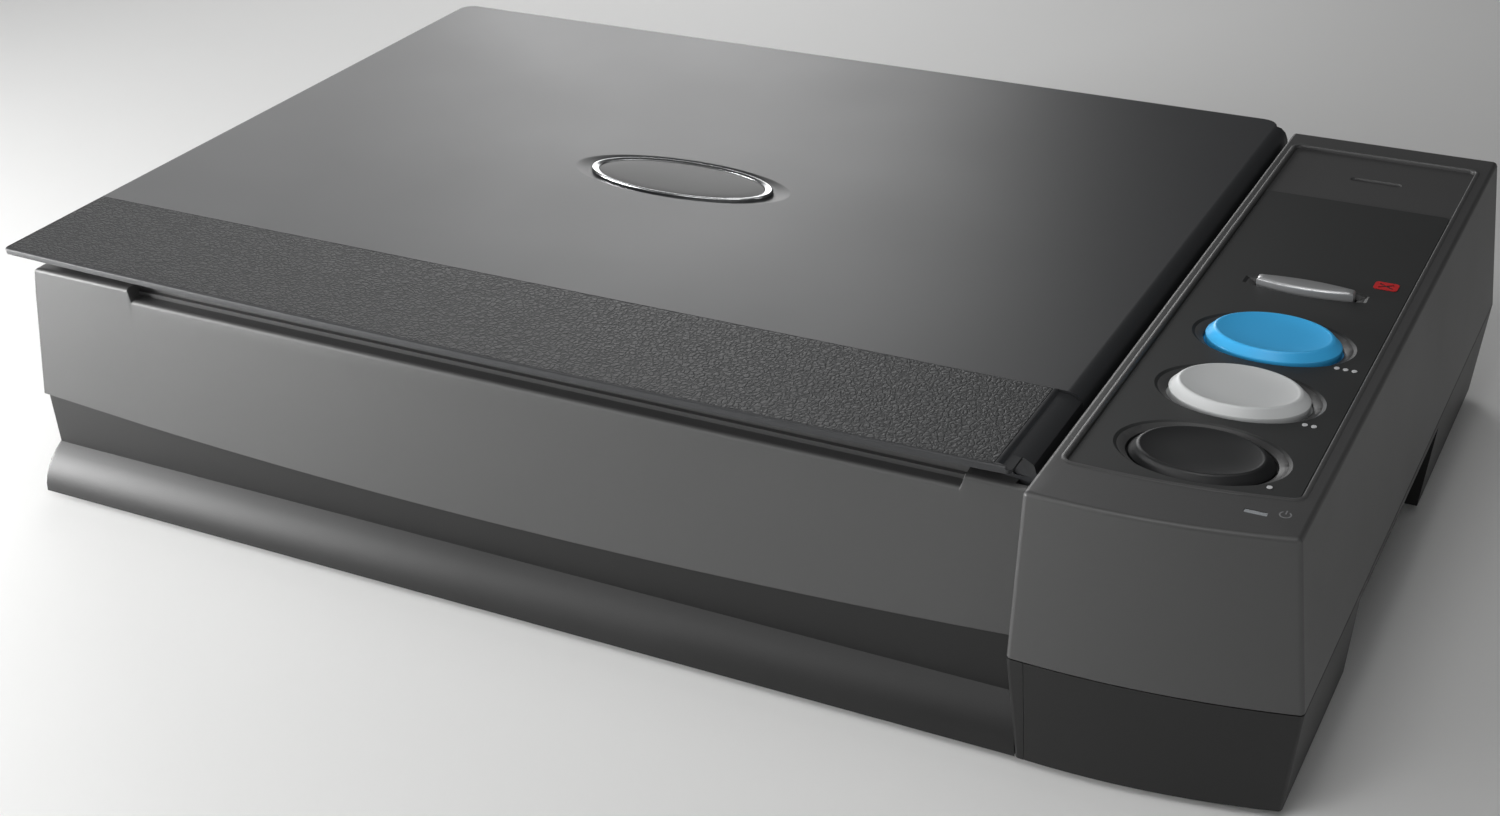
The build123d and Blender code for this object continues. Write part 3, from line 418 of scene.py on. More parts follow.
def leather_grain():
    """ABS moulded in a leather-grained tool: small worn cells with fine wrinkles, dull in the valleys, where
    painted shade also makes them a little darker.
    """
    wander, cell_mm, pore_mm = 2.2 * MM, 1.7, 0.5
    material, tree, surface, place = start("leather_grained_abs", 0.55)
    bend = add(tree, "ShaderNodeTexNoise", {"Vector": place, "Scale": 420.0, "Detail": 3.0})
    moved = add(tree, "ShaderNodeVectorMath", {0: bend.outputs["Color"], 1: (wander, wander, wander)},
                operation="MULTIPLY").outputs[0]
    bent = add(tree, "ShaderNodeVectorMath", {0: place, 1: moved}, operation="ADD").outputs[0]
    cells = add(tree, "ShaderNodeTexVoronoi", {"Vector": bent, "Scale": 1 / (cell_mm * MM)},
                feature="DISTANCE_TO_EDGE").outputs["Distance"]
    valleys = add(tree, "ShaderNodeMapRange", {"Value": cells, "From Max": 0.22}).outputs[0]
    pores = add(tree, "ShaderNodeTexNoise", {"Vector": place, "Scale": 1 / (pore_mm * MM),
                                             "Detail": 2.0}).outputs[0]
    height = add(tree, "ShaderNodeMath", {0: pores, 1: 0.45, 2: valleys}, operation="MULTIPLY_ADD").outputs[0]
    # painted shade: the grooves between the cells take the darker tone, standing in for shade that falls in
    # them
    tint(tree, surface, valleys, "#2b2c2d", "#333435")
    tree.links.new(spread(tree, valleys, 0.6, 0.5), surface.inputs["Roughness"])
    relief(tree, surface, height, 0.13)
    return material


def plated(name, light, dark, roughness, stretch=(1.0, 1.0, 1.0), scratch_mm=0.3):
    """Metal with fine marks left by its making; stretch draws them out along an axis."""
    material, tree, surface, place = start(name, roughness, Metallic=1.0)
    drawn = add(tree, "ShaderNodeMapping", {"Vector": place, "Scale": stretch}).outputs[0]
    marks = add(tree, "ShaderNodeTexNoise", {"Vector": drawn, "Scale": 1 / (scratch_mm * MM),
                                             "Detail": 4.0}).outputs[0]
    tint(tree, surface, marks, dark, light)
    tree.links.new(spread(tree, marks, roughness * 0.7, roughness * 1.4), surface.inputs["Roughness"])
    relief(tree, surface, marks, 0.004)
    return material


def clear(name, tone, roughness, ior, film_mm):
    """Clear glass, with faint patches of handling film on its surface."""
    material, tree, surface, place = start(name, roughness, Transmission_Weight=1.0, IOR=ior)
    film = add(tree, "ShaderNodeTexNoise", {"Vector": place, "Scale": 1 / (film_mm * MM),
                                            "Detail": 4.0}).outputs[0]
    tint(tree, surface, film, tone, "#ffffff")
    tree.links.new(spread(tree, film, roughness, roughness + 0.05), surface.inputs["Roughness"])
    return material


def circuit_board():
    """Green solder mask over copper: tracks one or two millimetres apart show as raised lighter lines."""
    material, tree, surface, place = start("solder_masked_laminate", 0.35, Coat_Weight=0.3,
                                           Coat_Roughness=0.15)
    tracks = add(tree, "ShaderNodeTexBrick", {"Vector": place, "Scale": 260.0, "Mortar Size": 0.03,
                                             "Color1": (0, 0, 0, 1), "Color2": (0, 0, 0, 1),
                                             "Mortar": (1, 1, 1, 1)}).outputs["Fac"]
    tint(tree, surface, tracks, "#0e4a2a", "#2c7a48")
    relief(tree, surface, tracks, 0.03)
    return material


finishes = {
    # charcoal ABS shells: dull, with an even fine grain that sparkles a little where light grazes it
    "grey_shell": speckled("spark_eroded_abs_charcoal", "#3b3b3b", "#484848", 0.44, 0.5, 0.02, IOR=1.53),
    # near-black ABS of the lower shells, same tool texture
    "black_shell": speckled("spark_eroded_abs_black", "#080808", "#0f0f0f", 0.46, 0.5, 0.025, IOR=1.5),
    # the lid's anthracite ABS is smoother: a satin sheen that carries long soft reflections
    "lid_shell": speckled("satin_abs_anthracite", "#27282a", "#303133", 0.44, 0.5, 0.012, 0.03, IOR=1.53),
    # grained ABS grip: dull leather cells that catch short broken highlights, with painted shade darkening
    # the grooves between them
    "grip_grain": leather_grain(),
    # bright chrome plating over plastic: mirror-like with the faintest haze
    "bright_chrome": plated("bright_chrome_plating", "#d9dadb", "#b3b5b7", 0.2, scratch_mm=2.0),
    # the badge's plate: dark grey enamel with a dull even face
    "badge_plate": speckled("dark_enamel", "#2b2b2b", "#383838", 0.5, 0.6, 0.01, 0.04),
    # matt polycarbonate film, printed on its back: very fine even tooth
    "label_film": speckled("matt_polycarbonate_film", "#212222", "#2b2c2c", 0.5, 0.45, 0.012, 0.03),
    # screen-printed inks: flat opaque shades with hardly any shine
    "white_print": speckled("screen_print_pale_grey", "#b9babb", "#cfd0d1", 0.55, 0.3, 0.01),
    "grey_print": speckled("screen_print_mid_grey", "#6d6e6f", "#7b7c7d", 0.55, 0.3, 0.01),
    "red_print": speckled("screen_print_red", "#a80e12", "#cc1c20", 0.5, 0.3, 0.01),
    # milky acrylic: a pale glossy window that hides the lamp behind it
    "clear_window": speckled("milky_acrylic", "#8e9295", "#a3a7aa", 0.2, 1.5, 0.002, 0.04, Coat_Weight=0.4,
                             Coat_Roughness=0.05),
    # laminated glass cloth under a printed mask: green, half glossy
    "circuit_board": circuit_board(),
    # plain black ABS of the inner carriers: dull, with an even grain
    "black_moulding": speckled("moulded_black_abs", "#101112", "#1c1d1e", 0.5, 0.6, 0.02),
    # buttons are satin ABS: soft highlight, hardly any grain
    "black_button": speckled("satin_abs_black", "#131415", "#1c1d1e", 0.42, 0.5, 0.012, 0.04, IOR=1.53),
    "grey_button": speckled("satin_abs_pale_grey", "#cdcfcf", "#d8dada", 0.38, 0.5, 0.01, 0.04, IOR=1.53),
    "blue_button": speckled("satin_abs_sky_blue", "#25b0ff", "#45bfff", 0.34, 0.5, 0.01, 0.04, IOR=1.53),
    # silver paint: fine metal flake under lacquer
    "silver_button": speckled("silver_lacquer", "#a2a3a4", "#c4c5c6", 0.32, 0.25, 0.006, 0.05, Metallic=0.6,
                              Coat_Weight=0.4, Coat_Roughness=0.1),
    # float glass: clear and flat, with a green cast and sharp reflections
    "platen_glass": clear("float_glass", "#dbe9e2", 0.02, 1.52, 30.0),
    # matt white foam sheet: soft even white with no shine
    "white_sheet": speckled("matt_white_foam", "#dcdcd8", "#ededea", 0.8, 0.7, 0.04, 0.04),
    # zinc-plated steel: cool grey, its soft shine streaked along X
    "steel": plated("zinc_plated_steel", "#b4b7ba", "#84888c", 0.34, (1.0, 6.0, 6.0)),
    # glass silvered on its front: a clear mirror
    "mirror_glass": plated("front_silvered_glass", "#eef0f1", "#e2e4e6", 0.03, scratch_mm=5.0),
    # moulded acetal: waxy ivory with a little light under its skin
    "nylon": speckled("natural_acetal", "#d6d2c4", "#e2dfd4", 0.4, 0.8, 0.01, Subsurface_Weight=0.1),
    # moulded rubbers: dull black that hardly shines
    "belt_rubber": speckled("toothed_belt_rubber", "#0e0e0f", "#1b1b1c", 0.7, 0.4, 0.02),
    "foot_rubber": speckled("moulded_rubber", "#161617", "#232324", 0.8, 0.5, 0.03),
}
slots = {part["node"]: part["material_slot"] for part in frame["record"]["subparts"]}
bodies = {node: body for body, members in frame["record"]["behaviour"]["bodies"].items() for node in members}
for node, shown in frame["nodes"].items():
    shown.data.materials.clear()
    shown.data.materials.append(finishes[slots[node]])


# --- platen housing ---
def fascia_outline(height_share, inset):
    """The grey housing's stations at a share of its height: x, y and how deep its top is cut there."""
    x0, y0, bow = [blend(a, b, height_share) for a, b in zip(FASCIA_LOW, FASCIA_TOP)]
    z = blend(PARTING, DECK, height_share)
    x1 = level(COLUMN_LEVELS, z)[0] - GAP - inset
    x0 += inset
    y0 += inset
    rear = REAR - inset
    steps, run = 4, 28
    step_in = [(NOTCH_X[0] + NOTCH_SLOPE * k / steps, NOTCH_DEPTH * (1 - cos(pi * k / steps)) / 2)
               for k in range(steps + 1)]
    cuts = [(x0, 0.0), (x0 + END_FACE, 0.0)] + step_in
    cuts += [(blend(NOTCH_X[0] + NOTCH_SLOPE, NOTCH_X[1] - NOTCH_SLOPE, k / run), NOTCH_DEPTH)
             for k in range(1, run)]
    cuts += [(NOTCH_X[0] + NOTCH_X[1] - x, cut) for x, cut in reversed(step_in)]
    cuts += [(x1 - END_FACE, 0.0), (x1, 0.0)]
    lean = (FASCIA_TOP[1] - FASCIA_LOW[1]) / (DECK - PARTING) if height_share == 1.0 else 0.0
    stations = [(x, y0 - lean * cut - bow * arch(x, x0, x1), cut) for x, cut in cuts]
    stations += [(x1, DECK_FRONT, 0.0), (x1, DECK_FRONT, CHANNEL[1]), (x1, rear, CHANNEL[1]),
                 (CHANNEL[0], rear, CHANNEL[1]), (CHANNEL[0], rear, 0.0)]
    for x in reversed(POCKET_X):
        stations += [(x + POCKET_HALF, rear, 0.0), (x + POCKET_HALF, rear, POCKET_DEPTH),
                     (x - POCKET_HALF, rear, POCKET_DEPTH), (x - POCKET_HALF, rear, 0.0)]
    return stations + [(x0 + END_FACE, rear, 0.0), (x0, rear - END_FACE, 0.0)]


def housing_sag(x):
    """Height of the fascia's lower edge."""
    return PARTING - DROOP * arch(x, SAG_LEFT, COLUMN_LEVELS[PARTING][0])


def housing_shell(inset):
    """One skin of the housing's walls and deck, from its lower edge up to the flat of the deck."""
    low = [(x, y, housing_sag(x) + (0.0 if inset else HEM[1])) for x, y, _ in fascia_outline(0.0, inset)]
    below = DECK - NOTCH_DEPTH - 2 * WALL
    share = (below - PARTING) / (DECK - PARTING)
    rings = [low, [(x, y, min(below, DECK - inset - cut - WALL))
                   for x, y, cut in fascia_outline(share, inset)]]
    if not inset:
        rings.insert(0, [(x, y, housing_sag(x)) for x, y, _ in fascia_outline(0.0, HEM[0])])
    for roll, drop in [(0.0, 0.0)] if inset else round_over(HOUSING_ROLL, 4):
        rings.append([(x, y, DECK - inset - cut - drop) for x, y, cut in fascia_outline(1.0, inset + roll)])
    floor, deck = [], []
    for x, y, cut in fascia_outline(1.0, inset):
        in_notch = cut > 0 and y < DECK_FRONT
        front = (NOTCH_BACK if in_notch else DECK_FRONT) + inset
        back = (POCKET_BACK if cut == POCKET_DEPTH else REAR - REAR_SHELF) - inset
        px = min(max(x, HOUSING_LOW.x + LEFT_SHELF + inset), CHANNEL[0] - inset)
        py = min(max(y, front), back)
        floor.append((px, py, DECK - inset - cut))
        deck.append((px, py, DECK - inset))
    return rings + [floor, deck]


def platen_rect(grow, z):
    """An outline round the glass at a distance from its edge."""
    low, high = GLASS_LOW, GLASS_HIGH
    return at(rect(low.x - grow, low.y - grow, high.x + grow, high.y + grow, 0.6, 3), z)


def make_platen_housing():
    skin = Skin()
    outer = [skin.ring(r) for r in housing_shell(0.0)]
    inner = [skin.ring(r) for r in housing_shell(WALL)]
    skin.join(*outer)
    skin.join(*inner)
    skin.join(outer[0], inner[0])
    ledge, under = GLASS_LOW.z, DECK - WALL - 2.0
    seat = [(0.5, DECK), (0.25, DECK - 0.2), (0.2, ledge), (-3.8, ledge), (-4.0, ledge - 0.3), (-4.0, under),
            (-2.0, under), (2.5, under), (2.5, DECK - WALL)]
    mouth, lip = skin.loft(*[platen_rect(grow, z) for grow, z in seat])
    skin.fill(outer[-1], mouth)
    skin.fill(inner[-1], lip)
    finish_piece("platen_housing", skin.done(), "base", "grey_shell", ["upper_housing"])


# --- control column ---
def well_grow(z):
    """How far a button well stands out from its button at a height, at its ends and at its sides."""
    share = max(0.0, (z - WELL_FOOT) / (LABEL_HIGH.z - WELL_FOOT))
    return [WELL_EXTRA + cone * share for cone in WELL_CONE]


def button_tops():
    """Each button's node, centre and top height."""
    places = []
    for name in ("black_button", "grey_button", "blue_button", "silver_button"):
        low, high = span(name)
        places.append((name, (BUTTON_X, (low.y + high.y) / 2), high.z))
    return places


def well_outline(name, centre, z):
    grow = well_grow(z)
    if name == "silver_button":
        return at(boat(*grow, centre), z)
    return at(ellipse(OVAL[0] + grow[0], OVAL[1] + grow[1], centre), z)


def socket_holes(skin, front, back):
    """The openings for the data socket and the power inlet through the rear wall, as two pairs of rings."""
    low, high = span("usb_socket")
    outlines = [rect(low.x - 0.2, low.z - 0.2, high.x + 0.2, high.z + 0.2, 0.5, 3),
                ellipse(JACK_R + 0.1, JACK_R + 0.1, JACK, 32)]
    outer, inner = [], []
    for outline in outlines:
        middle = sum((Vector(p) for p in outline), Vector((0, 0))) / len(outline)
        wide = [middle + (Vector(p) - middle) * 1.06 for p in outline]
        rings = [skin.ring([(x, y, z) for x, z in path])
                 for path, y in ((wide, front), (outline, front - 0.35), (outline, back))]
        skin.join(*rings)
        outer.append(rings[0])
        inner.append(rings[-1])
    return outer, inner


def make_control_column():
    skin = Skin()
    heights = [blend(PARTING + 0.4, COLUMN_TOP - COLUMN_CREASE, k / 4) for k in range(5)]
    walls = [skin.ring(at(column_outline(z), z)) for z in heights]
    side = len(walls[0]) - ARC_STEPS - 2  # the rear wall, before the last corner's arc
    skin.join(*walls, gap=side)
    bottom = skin.ring(at(column_outline(PARTING, 0.4), PARTING))
    skin.join(bottom, walls[0])
    rim = skin.loft(at(column_outline(heights[-1]), heights[-1]),
                    *[at(column_outline(COLUMN_TOP, inset), COLUMN_TOP - drop)
                      for inset, drop in round_over(COLUMN_CREASE)[1:]])[1]
    bead = [(1.7, 0.0), (1.4, 0.2), (0.9, 0.28), (0.45, 0.2), (0.15, -0.1), (0.0, -0.5)]
    edge, floor = skin.loft(*[at(panel_outline(PANEL_REAR, -grow), COLUMN_TOP + rise) for grow, rise in bead],
                            at(panel_outline(PANEL_REAR, 0.0), PANEL_FLOOR))
    slit = rect(WINDOW_LOW.x, WINDOW_LOW.y, WINDOW_HIGH.x, WINDOW_HIGH.y, 0.4, 3)
    top, slit_low = skin.loft(at(slit, COLUMN_TOP), at(slit, UNDERSIDE))
    skin.fill(rim, edge, top)
    wells, feet = [], []
    for name, centre, _ in button_tops():
        mouth, foot = skin.loft(*[well_outline(name, centre, z) for z in (PANEL_FLOOR, WELL_FOOT, UNDERSIDE)])
        wells.append(mouth)
        feet.append(foot)
    groove_x, groove_y = (PANEL_X[0] + PANEL_X[1]) / 2 + 1.5, (LABEL_HIGH.y + PANEL_REAR) / 2 + 0.6

    def groove(inset):
        half, width = GROOVE[0] - inset, GROOVE[1] - inset
        return rect(groove_x - half, groove_y - width, groove_x + half, groove_y + width, width * 0.98, 6)
    mouth, foot = skin.loft(*[at(groove(inset), PANEL_FLOOR - drop)
                              for inset, drop in ((0.0, 0.0), (0.25, 0.5), (0.7, 0.75))])
    wells.append(mouth)
    skin.fill(foot)
    skin.fill(floor, *wells)
    ceiling = skin.ring(at(column_outline(UNDERSIDE, WALL), UNDERSIDE))
    hem = skin.ring(at(column_outline(PARTING, WALL), PARTING))
    skin.join(ceiling, hem, gap=side)
    skin.fill(ceiling, slit_low, *feet)
    skin.join(hem, bottom)
    outer, inner = socket_holes(skin, REAR, REAR - WALL)
    right, left = [ring[side] for ring in walls], [ring[side + 1] for ring in walls]
    skin.fill(right + left[::-1], *outer)
    skin.fill([ceiling[side], hem[side], hem[side + 1], ceiling[side + 1]], *inner)
    finish_piece("control_column", skin.done(), "base", "grey_shell", ["control_housing"])


def make_panel_film():
    """The dark film that covers the panel's front part, holed for the buttons."""
    skin = Skin()
    top, low = LABEL_HIGH.z, LABEL_LOW.z + 0.02
    face, back = skin.loft(*[at(panel_outline(LABEL_HIGH.y, inset), z)
                             for inset, z in ((0.5, top), (0.36, top - 0.04), (0.3, top - 0.14), (0.3, low))])
    wells = [skin.loft(well_outline(name, centre, top), well_outline(name, centre, low))
             for name, centre, _ in button_tops()]
    for ring, holes in zip((face, back), zip(*wells)):
        skin.fill(ring, *holes)
    finish_piece("panel_film", skin.done(), "base", "label_film", ["control_label"], 25)


def make_key(name, centre, top):
    """A key over its flange: a dished oval with a rolled rim, or the slim boat shape with a crowned top."""
    skin = Skin()
    slim = name == "silver_button"
    flange, crown, sunk = (1.5, SLIM_CROWN, 0.0) if slim else (2.4, OVAL_CROWN, 0.82)
    profile = [(flange, KEY_HEM[0]), (flange, KEY_HEM[1]), (0.0, KEY_HEM[1])]
    rings = []
    for grow, z in profile + [(grow, top - drop) for grow, drop in crown]:
        oval = (OVAL[0] + grow, OVAL[1] + grow * OVAL[1] / OVAL[0])
        rings.append(at(boat(grow, grow, centre) if slim else ellipse(*oval, centre), z))
    foot, face = skin.loft(*rings)
    skin.cap(foot, (*centre, KEY_HEM[0]))
    skin.cap(face, (*centre, top - sunk))
    finish_piece("key_" + name, skin.done(), bodies[name], slots[name], [name], 40)


# --- lid ---
def under_top(rows):
    """Rows of inset and drop below the lid's top, as inset and height."""
    return [(inset, LID_TOP - drop) for inset, drop in rows]


BAND_IN = 4.2  # width of the low band between the strip and the roll
BAND_DROP = 0.9
LIP_PROFILE = under_top([(0.9, 0.0), (0.4, 0.08), (0.1, 0.35), (0.0, 0.7), (0.0, 1.9), (0.12, 2.25),
                         (0.5, 2.5), (9.7, 2.5), (10.0, 2.8), (10.0, 6.6), (10.4, 7.0), (12.2, 7.0),
                         (12.5, 6.7), (12.5, 2.5)])
ROLL_PROFILE = under_top([(-0.9, 0.0), (0.0, 0.04), (1.9, 0.55), (3.5, 2.0), (4.45, 4.2), (ROLL_OUT, 6.6)])
ROLL_PROFILE += [(ROLL_OUT, LID_LOW.z + 0.5), (ROLL_OUT - 0.35, LID_LOW.z), (ROLL_OUT - 2.1, LID_LOW.z),
                 (ROLL_OUT - 2.5, LID_LOW.z + 0.4)]
ROLL_PROFILE += under_top([(ROLL_OUT - 2.5, 7.0), (-2.2, 7.0), (-2.5, 6.7), (-2.5, 2.5)])
STEP_PROFILE = under_top([(-BAND_IN, 0.0), (-BAND_IN + 0.35, 0.2), (-BAND_IN + 0.9, BAND_DROP),
                          (0.6, BAND_DROP + 0.3), (3.6, 2.9)]) + ROLL_PROFILE[5:]
# what the lip's first rings turn into beside the band
BAND_PROFILE = under_top([(BAND_IN, 0.0), (BAND_IN - 0.35, 0.2), (BAND_IN - 0.9, BAND_DROP),
                          (0.0, BAND_DROP + 0.3)])


def lid_stations(k):
    """One ring round the lid: its lip, and its rolled right side with the low band beside the strip."""
    (inset, z), (roll, roll_z), (step, step_z) = LIP_PROFILE[k], ROLL_PROFILE[k], STEP_PROFILE[k]
    front_r, rear_r = max(1.6 - inset, 0.3), max(6.0 - inset, 0.4)
    x0, x1 = LID_X[0] + inset, LID_X[1] - inset
    y0, y1 = LID_FRONT + inset, LID_HIGH.y - inset
    steps, run = 6, 40
    arcs = rounded([(x0, y0, front_r), (x1, y0, front_r), (x1, y1, rear_r), (x0, y1, rear_r)], steps)
    lead, nose, tail = arcs[:steps + 1], arcs[steps + 1:2 * steps + 2], arcs[2 * steps + 2:]
    front = [(blend(lead[-1][0], nose[0][0], i / run), y0) for i in range(1, run)]
    lip = [(x, y - LID_BOW * arch(x, *LID_X), z) for x, y in lead + front]
    for i, (x, y) in enumerate(nose + [(x1, max(ROLL_FRONT, nose[-1][1]))]):
        band_in, band_z = BAND_PROFILE[k] if k < len(BAND_PROFILE) else (inset, z)
        share = min(1.0, i / steps)
        edge, top = blend(inset, band_in, share), blend(z, band_z, share)
        lip.append((x + inset - edge, y - LID_BOW * arch(x, *LID_X), top))
    lip += [(LID_X[1] + step, blend(ROLL_FRONT, STRIP_HIGH.y, i / 2), step_z) for i in range(3)]
    lip += [(LID_X[1] + roll, blend(STRIP_HIGH.y, ROLL_REAR, i / 4), roll_z) for i in range(5)]
    lip.append((x1, ROLL_REAR, z))
    return lip + [(x, y, z) for x, y in tail]


def strip_outline(inset):
    x0, x1 = LID_X[0] + STRIP_RIM + inset, STRIP_HIGH.x - 0.3 - inset
    front = LID_FRONT + STRIP_RIM + inset
    return bowed(x0, x1, front, front - 0.1, STRIP_HIGH.y - inset, LID_BOW - 0.1, 0.9, 0.4, run=40)


def make_lid():
    skin = Skin()
    rings = [skin.ring(lid_stations(k)) for k in range(len(LIP_PROFILE))]
    skin.join(*rings)
    skin.fill(rings[-1])
    mouth, tray = skin.loft(at(strip_outline(-0.1), LID_TOP), at(strip_outline(0.0), LID_TOP - 0.1),
                            at(strip_outline(0.0), LID_TOP - STRIP_DEPTH))
    skin.fill(tray)
    dish = [(0.0, 0.0), (-0.6, 0.03), (-2.0, 0.2), (-4.4, 0.55), (-6.3, 0.78)]
    brink, well = skin.loft(*[at(ellipse(BADGE_DISH[0] + grow, BADGE_DISH[1] + grow * 0.3, BADGE),
                                 LID_TOP - drop) for grow, drop in dish])
    skin.fill(well)
    skin.fill(rings[0], mouth, brink)
    finish_piece("lid_cover", skin.done(), "lid", "lid_shell", ["lid_shell"], 30)


def make_grip_strip():
    skin = Skin()
    face, back = skin.loft(*[at(strip_outline(inset), z) for inset, z in
                             ((0.35, LID_TOP), (0.18, LID_TOP - 0.04), (0.08, LID_TOP - 0.16),
                              (0.06, LID_TOP - STRIP_DEPTH + 0.03))])
    skin.fill(face)
    skin.fill(back)
    finish_piece("grained_strip", skin.done(), "lid", "grip_grain", ["lid_grip_strip"])


def make_badge():
    low = RING_LOW.z + 0.05
    rx, ry = (RING_HIGH.x - RING_LOW.x) / 2, (RING_HIGH.y - RING_LOW.y) / 2
    ring = [(0.0, 0.0, low), (0.0, 0.0, low + 0.8), (0.2, 0.1, low + 1.1), (0.6, 0.3, low + 1.28),
            (1.1, 0.5, low + 1.3), (2.9, 1.25, low + 0.95), (3.1, 1.35, low + 0.8), (3.1, 1.35, low)]
    skin = Skin()
    first, last = skin.loft(*[at(ellipse(rx - a, ry - b, BADGE), z) for a, b, z in ring])
    skin.join(last, first)
    finish_piece("badge_rim", skin.done(), "lid", "bright_chrome", ["badge_ring"], 50)
    skin = Skin()
    plate = [(3.15, 1.4, low), (3.15, 1.4, low + 0.6), (3.5, 1.6, low + 0.75), (9.0, 3.9, low + 0.9),
             (18.0, 7.6, low + 1.02), (27.0, 11.3, low + 1.08)]
    first, last = skin.loft(*[at(ellipse(rx - a, ry - b, BADGE), z) for a, b, z in plate])
    skin.cap(first, (*BADGE, low))
    skin.cap(last, (*BADGE, low + 1.1))
    finish_piece("badge_face", skin.done(), "lid", "badge_plate", ["badge_plate"], 50)


def make_power_mark():
    """A small printed power sign: an open ring with a bar in its gap."""
    skin = Skin()
    top = COLUMN_TOP + 0.03
    sweep = [radians(125 + 290 * k / 28) for k in range(29)]
    mark_x, mark_y = POWER_MARK
    arc = [(mark_x + MARK_R[0] * cos(a), mark_y + MARK_R[0] * sin(a)) for a in sweep]
    arc += [(mark_x + MARK_R[1] * cos(a), mark_y + MARK_R[1] * sin(a)) for a in reversed(sweep)]
    bar = rect(mark_x - 0.2, mark_y + 0.2, mark_x + 0.2, mark_y + 2.1, 0.12, 2)
    for outline in (arc, bar):
        for ring in skin.loft(at(outline, top), at(outline, COLUMN_TOP - 0.1)):
            skin.fill(ring)
    finish_piece("power_sign", skin.done(), "base", "white_print", finish="grey_print")


# --- repeated details ---
def screw_unit(head_r, head_t, shaft_r, length):
    """A cross-head screw whose head's outer face lies at the origin and looks up."""
    skin = Skin()
    profile = [(head_r * 0.82, 0.0), (head_r * 0.95, -0.08), (head_r, -0.3), (head_r, -head_t),
               (shaft_r, -head_t), (shaft_r, 0.6 - length), (shaft_r * 0.4, -length)]
    face, tip = skin.loft(*[at(ellipse(r, r, (0, 0), 20), z) for r, z in profile])
    skin.cap(tip, (0, 0, -length))
    arm, half = head_r * 0.62, head_r * 0.13
    cross = []
    for x, y in ((1, 0), (0, 1), (-1, 0), (0, -1)):
        cross += [(arm * x + half * y, arm * y - half * x), (arm * x - half * y, arm * y + half * x),
                  (half * (x - y), half * (x + y))]
    mouth, foot = skin.loft(at(cross, 0.0), at([(x * 0.6, y * 0.6) for x, y in cross], -head_t * 0.7))
    skin.fill(foot)
    skin.fill(face, mouth)
    return skin.done()


def foot_unit():
    """A round rubber foot with a sunk ring in its sole."""
    skin = Skin()
    profile = [(FOOT_R, FOOT), (FOOT_R, 0.6), (FOOT_R - 0.2, 0.15), (FOOT_R - 0.7, 0.0), (5.6, 0.0),
               (5.2, 0.5), (3.1, 0.5), (2.7, 0.0)]
    back, sole = skin.loft(*[at(ellipse(r, r, (0, 0), 32), z) for r, z in profile])
    skin.cap(back, (0, 0, FOOT))
    skin.cap(sole, (0, 0, 0.0))
    return skin.done()


def tooth_unit():
    """One belt tooth that lies across a path running along X, its root above the origin."""
    skin = Skin()
    width = BELT_HIGH.z - BELT_LOW.z - 0.1
    section = [(-0.62, 0.0), (-0.42, 0.5), (0.42, 0.5), (0.62, 0.0)]
    for ring in skin.loft([(x, y, 0.05) for x, y in section], [(x, y, width) for x, y in section]):
        skin.face(ring)
    return skin.done()


def tree_for(name, sockets):
    """An empty geometry tree with named inputs."""
    tree = bpy.data.node_groups.new(name, "GeometryNodeTree")
    tree.interface.new_socket("Geometry", in_out="INPUT", socket_type="NodeSocketGeometry")
    for key, kind in sockets.items():
        tree.interface.new_socket(key, in_out="INPUT", socket_type="NodeSocket" + kind)
    tree.interface.new_socket("Geometry", in_out="OUTPUT", socket_type="NodeSocketGeometry")
    return tree, tree.nodes.new("NodeGroupInput").outputs


def close_tree(tree, geometry, material):
    """Makes what a tree has grown plain geometry of one material."""
    plain = add(tree, "GeometryNodeRealizeInstances", {"Geometry": geometry}).outputs[0]
    dressed = add(tree, "GeometryNodeSetMaterial", {"Geometry": plain, "Material": material}).outputs[0]
    add(tree, "NodeGroupOutput", {"Geometry": dressed})


def scatter_tree():
    """The unit on every point, turned about its own axis by a seeded chance and flipped if asked."""
    tree, given = tree_for("scatter", {"Unit": "Object", "Flip": "Float", "Turn": "Float", "Seed": "Int",
                                       "Material": "Material"})
    unit = add(tree, "GeometryNodeObjectInfo", {"Object": given["Unit"]}).outputs["Geometry"]
    chance = add(tree, "FunctionNodeRandomValue", {3: given["Turn"], 8: given["Seed"]},
                 data_type="FLOAT").outputs[1]
    turn = add(tree, "ShaderNodeCombineXYZ", {"X": given["Flip"], "Z": chance}).outputs[0]
    spots = add(tree, "GeometryNodeInstanceOnPoints", {"Points": given["Geometry"], "Instance": unit,
                                                       "Rotation": turn}).outputs[0]
    close_tree(tree, spots, given["Material"])
    return tree


def path_tree():
    """The unit at every pitch along a closed path, facing along it."""
    tree, given = tree_for("along a path", {"Unit": "Object", "Pitch": "Float", "Material": "Material"})
    path = add(tree, "GeometryNodeMeshToCurve", {"Mesh": given["Geometry"]}).outputs[0]
    steps = add(tree, "GeometryNodeResampleCurve", {"Curve": path, "Length": given["Pitch"]},
                mode="LENGTH").outputs[0]
    unit = add(tree, "GeometryNodeObjectInfo", {"Object": given["Unit"]}).outputs["Geometry"]
    along = add(tree, "GeometryNodeInputTangent").outputs[0]
    facing = add(tree, "FunctionNodeAlignRotationToVector", {"Vector": along}, axis="X",
                 pivot_axis="Z").outputs[0]
    spots = add(tree, "GeometryNodeInstanceOnPoints", {"Points": steps, "Instance": unit,
                                                       "Rotation": facing}).outputs[0]
    close_tree(tree, spots, given["Material"])
    return tree


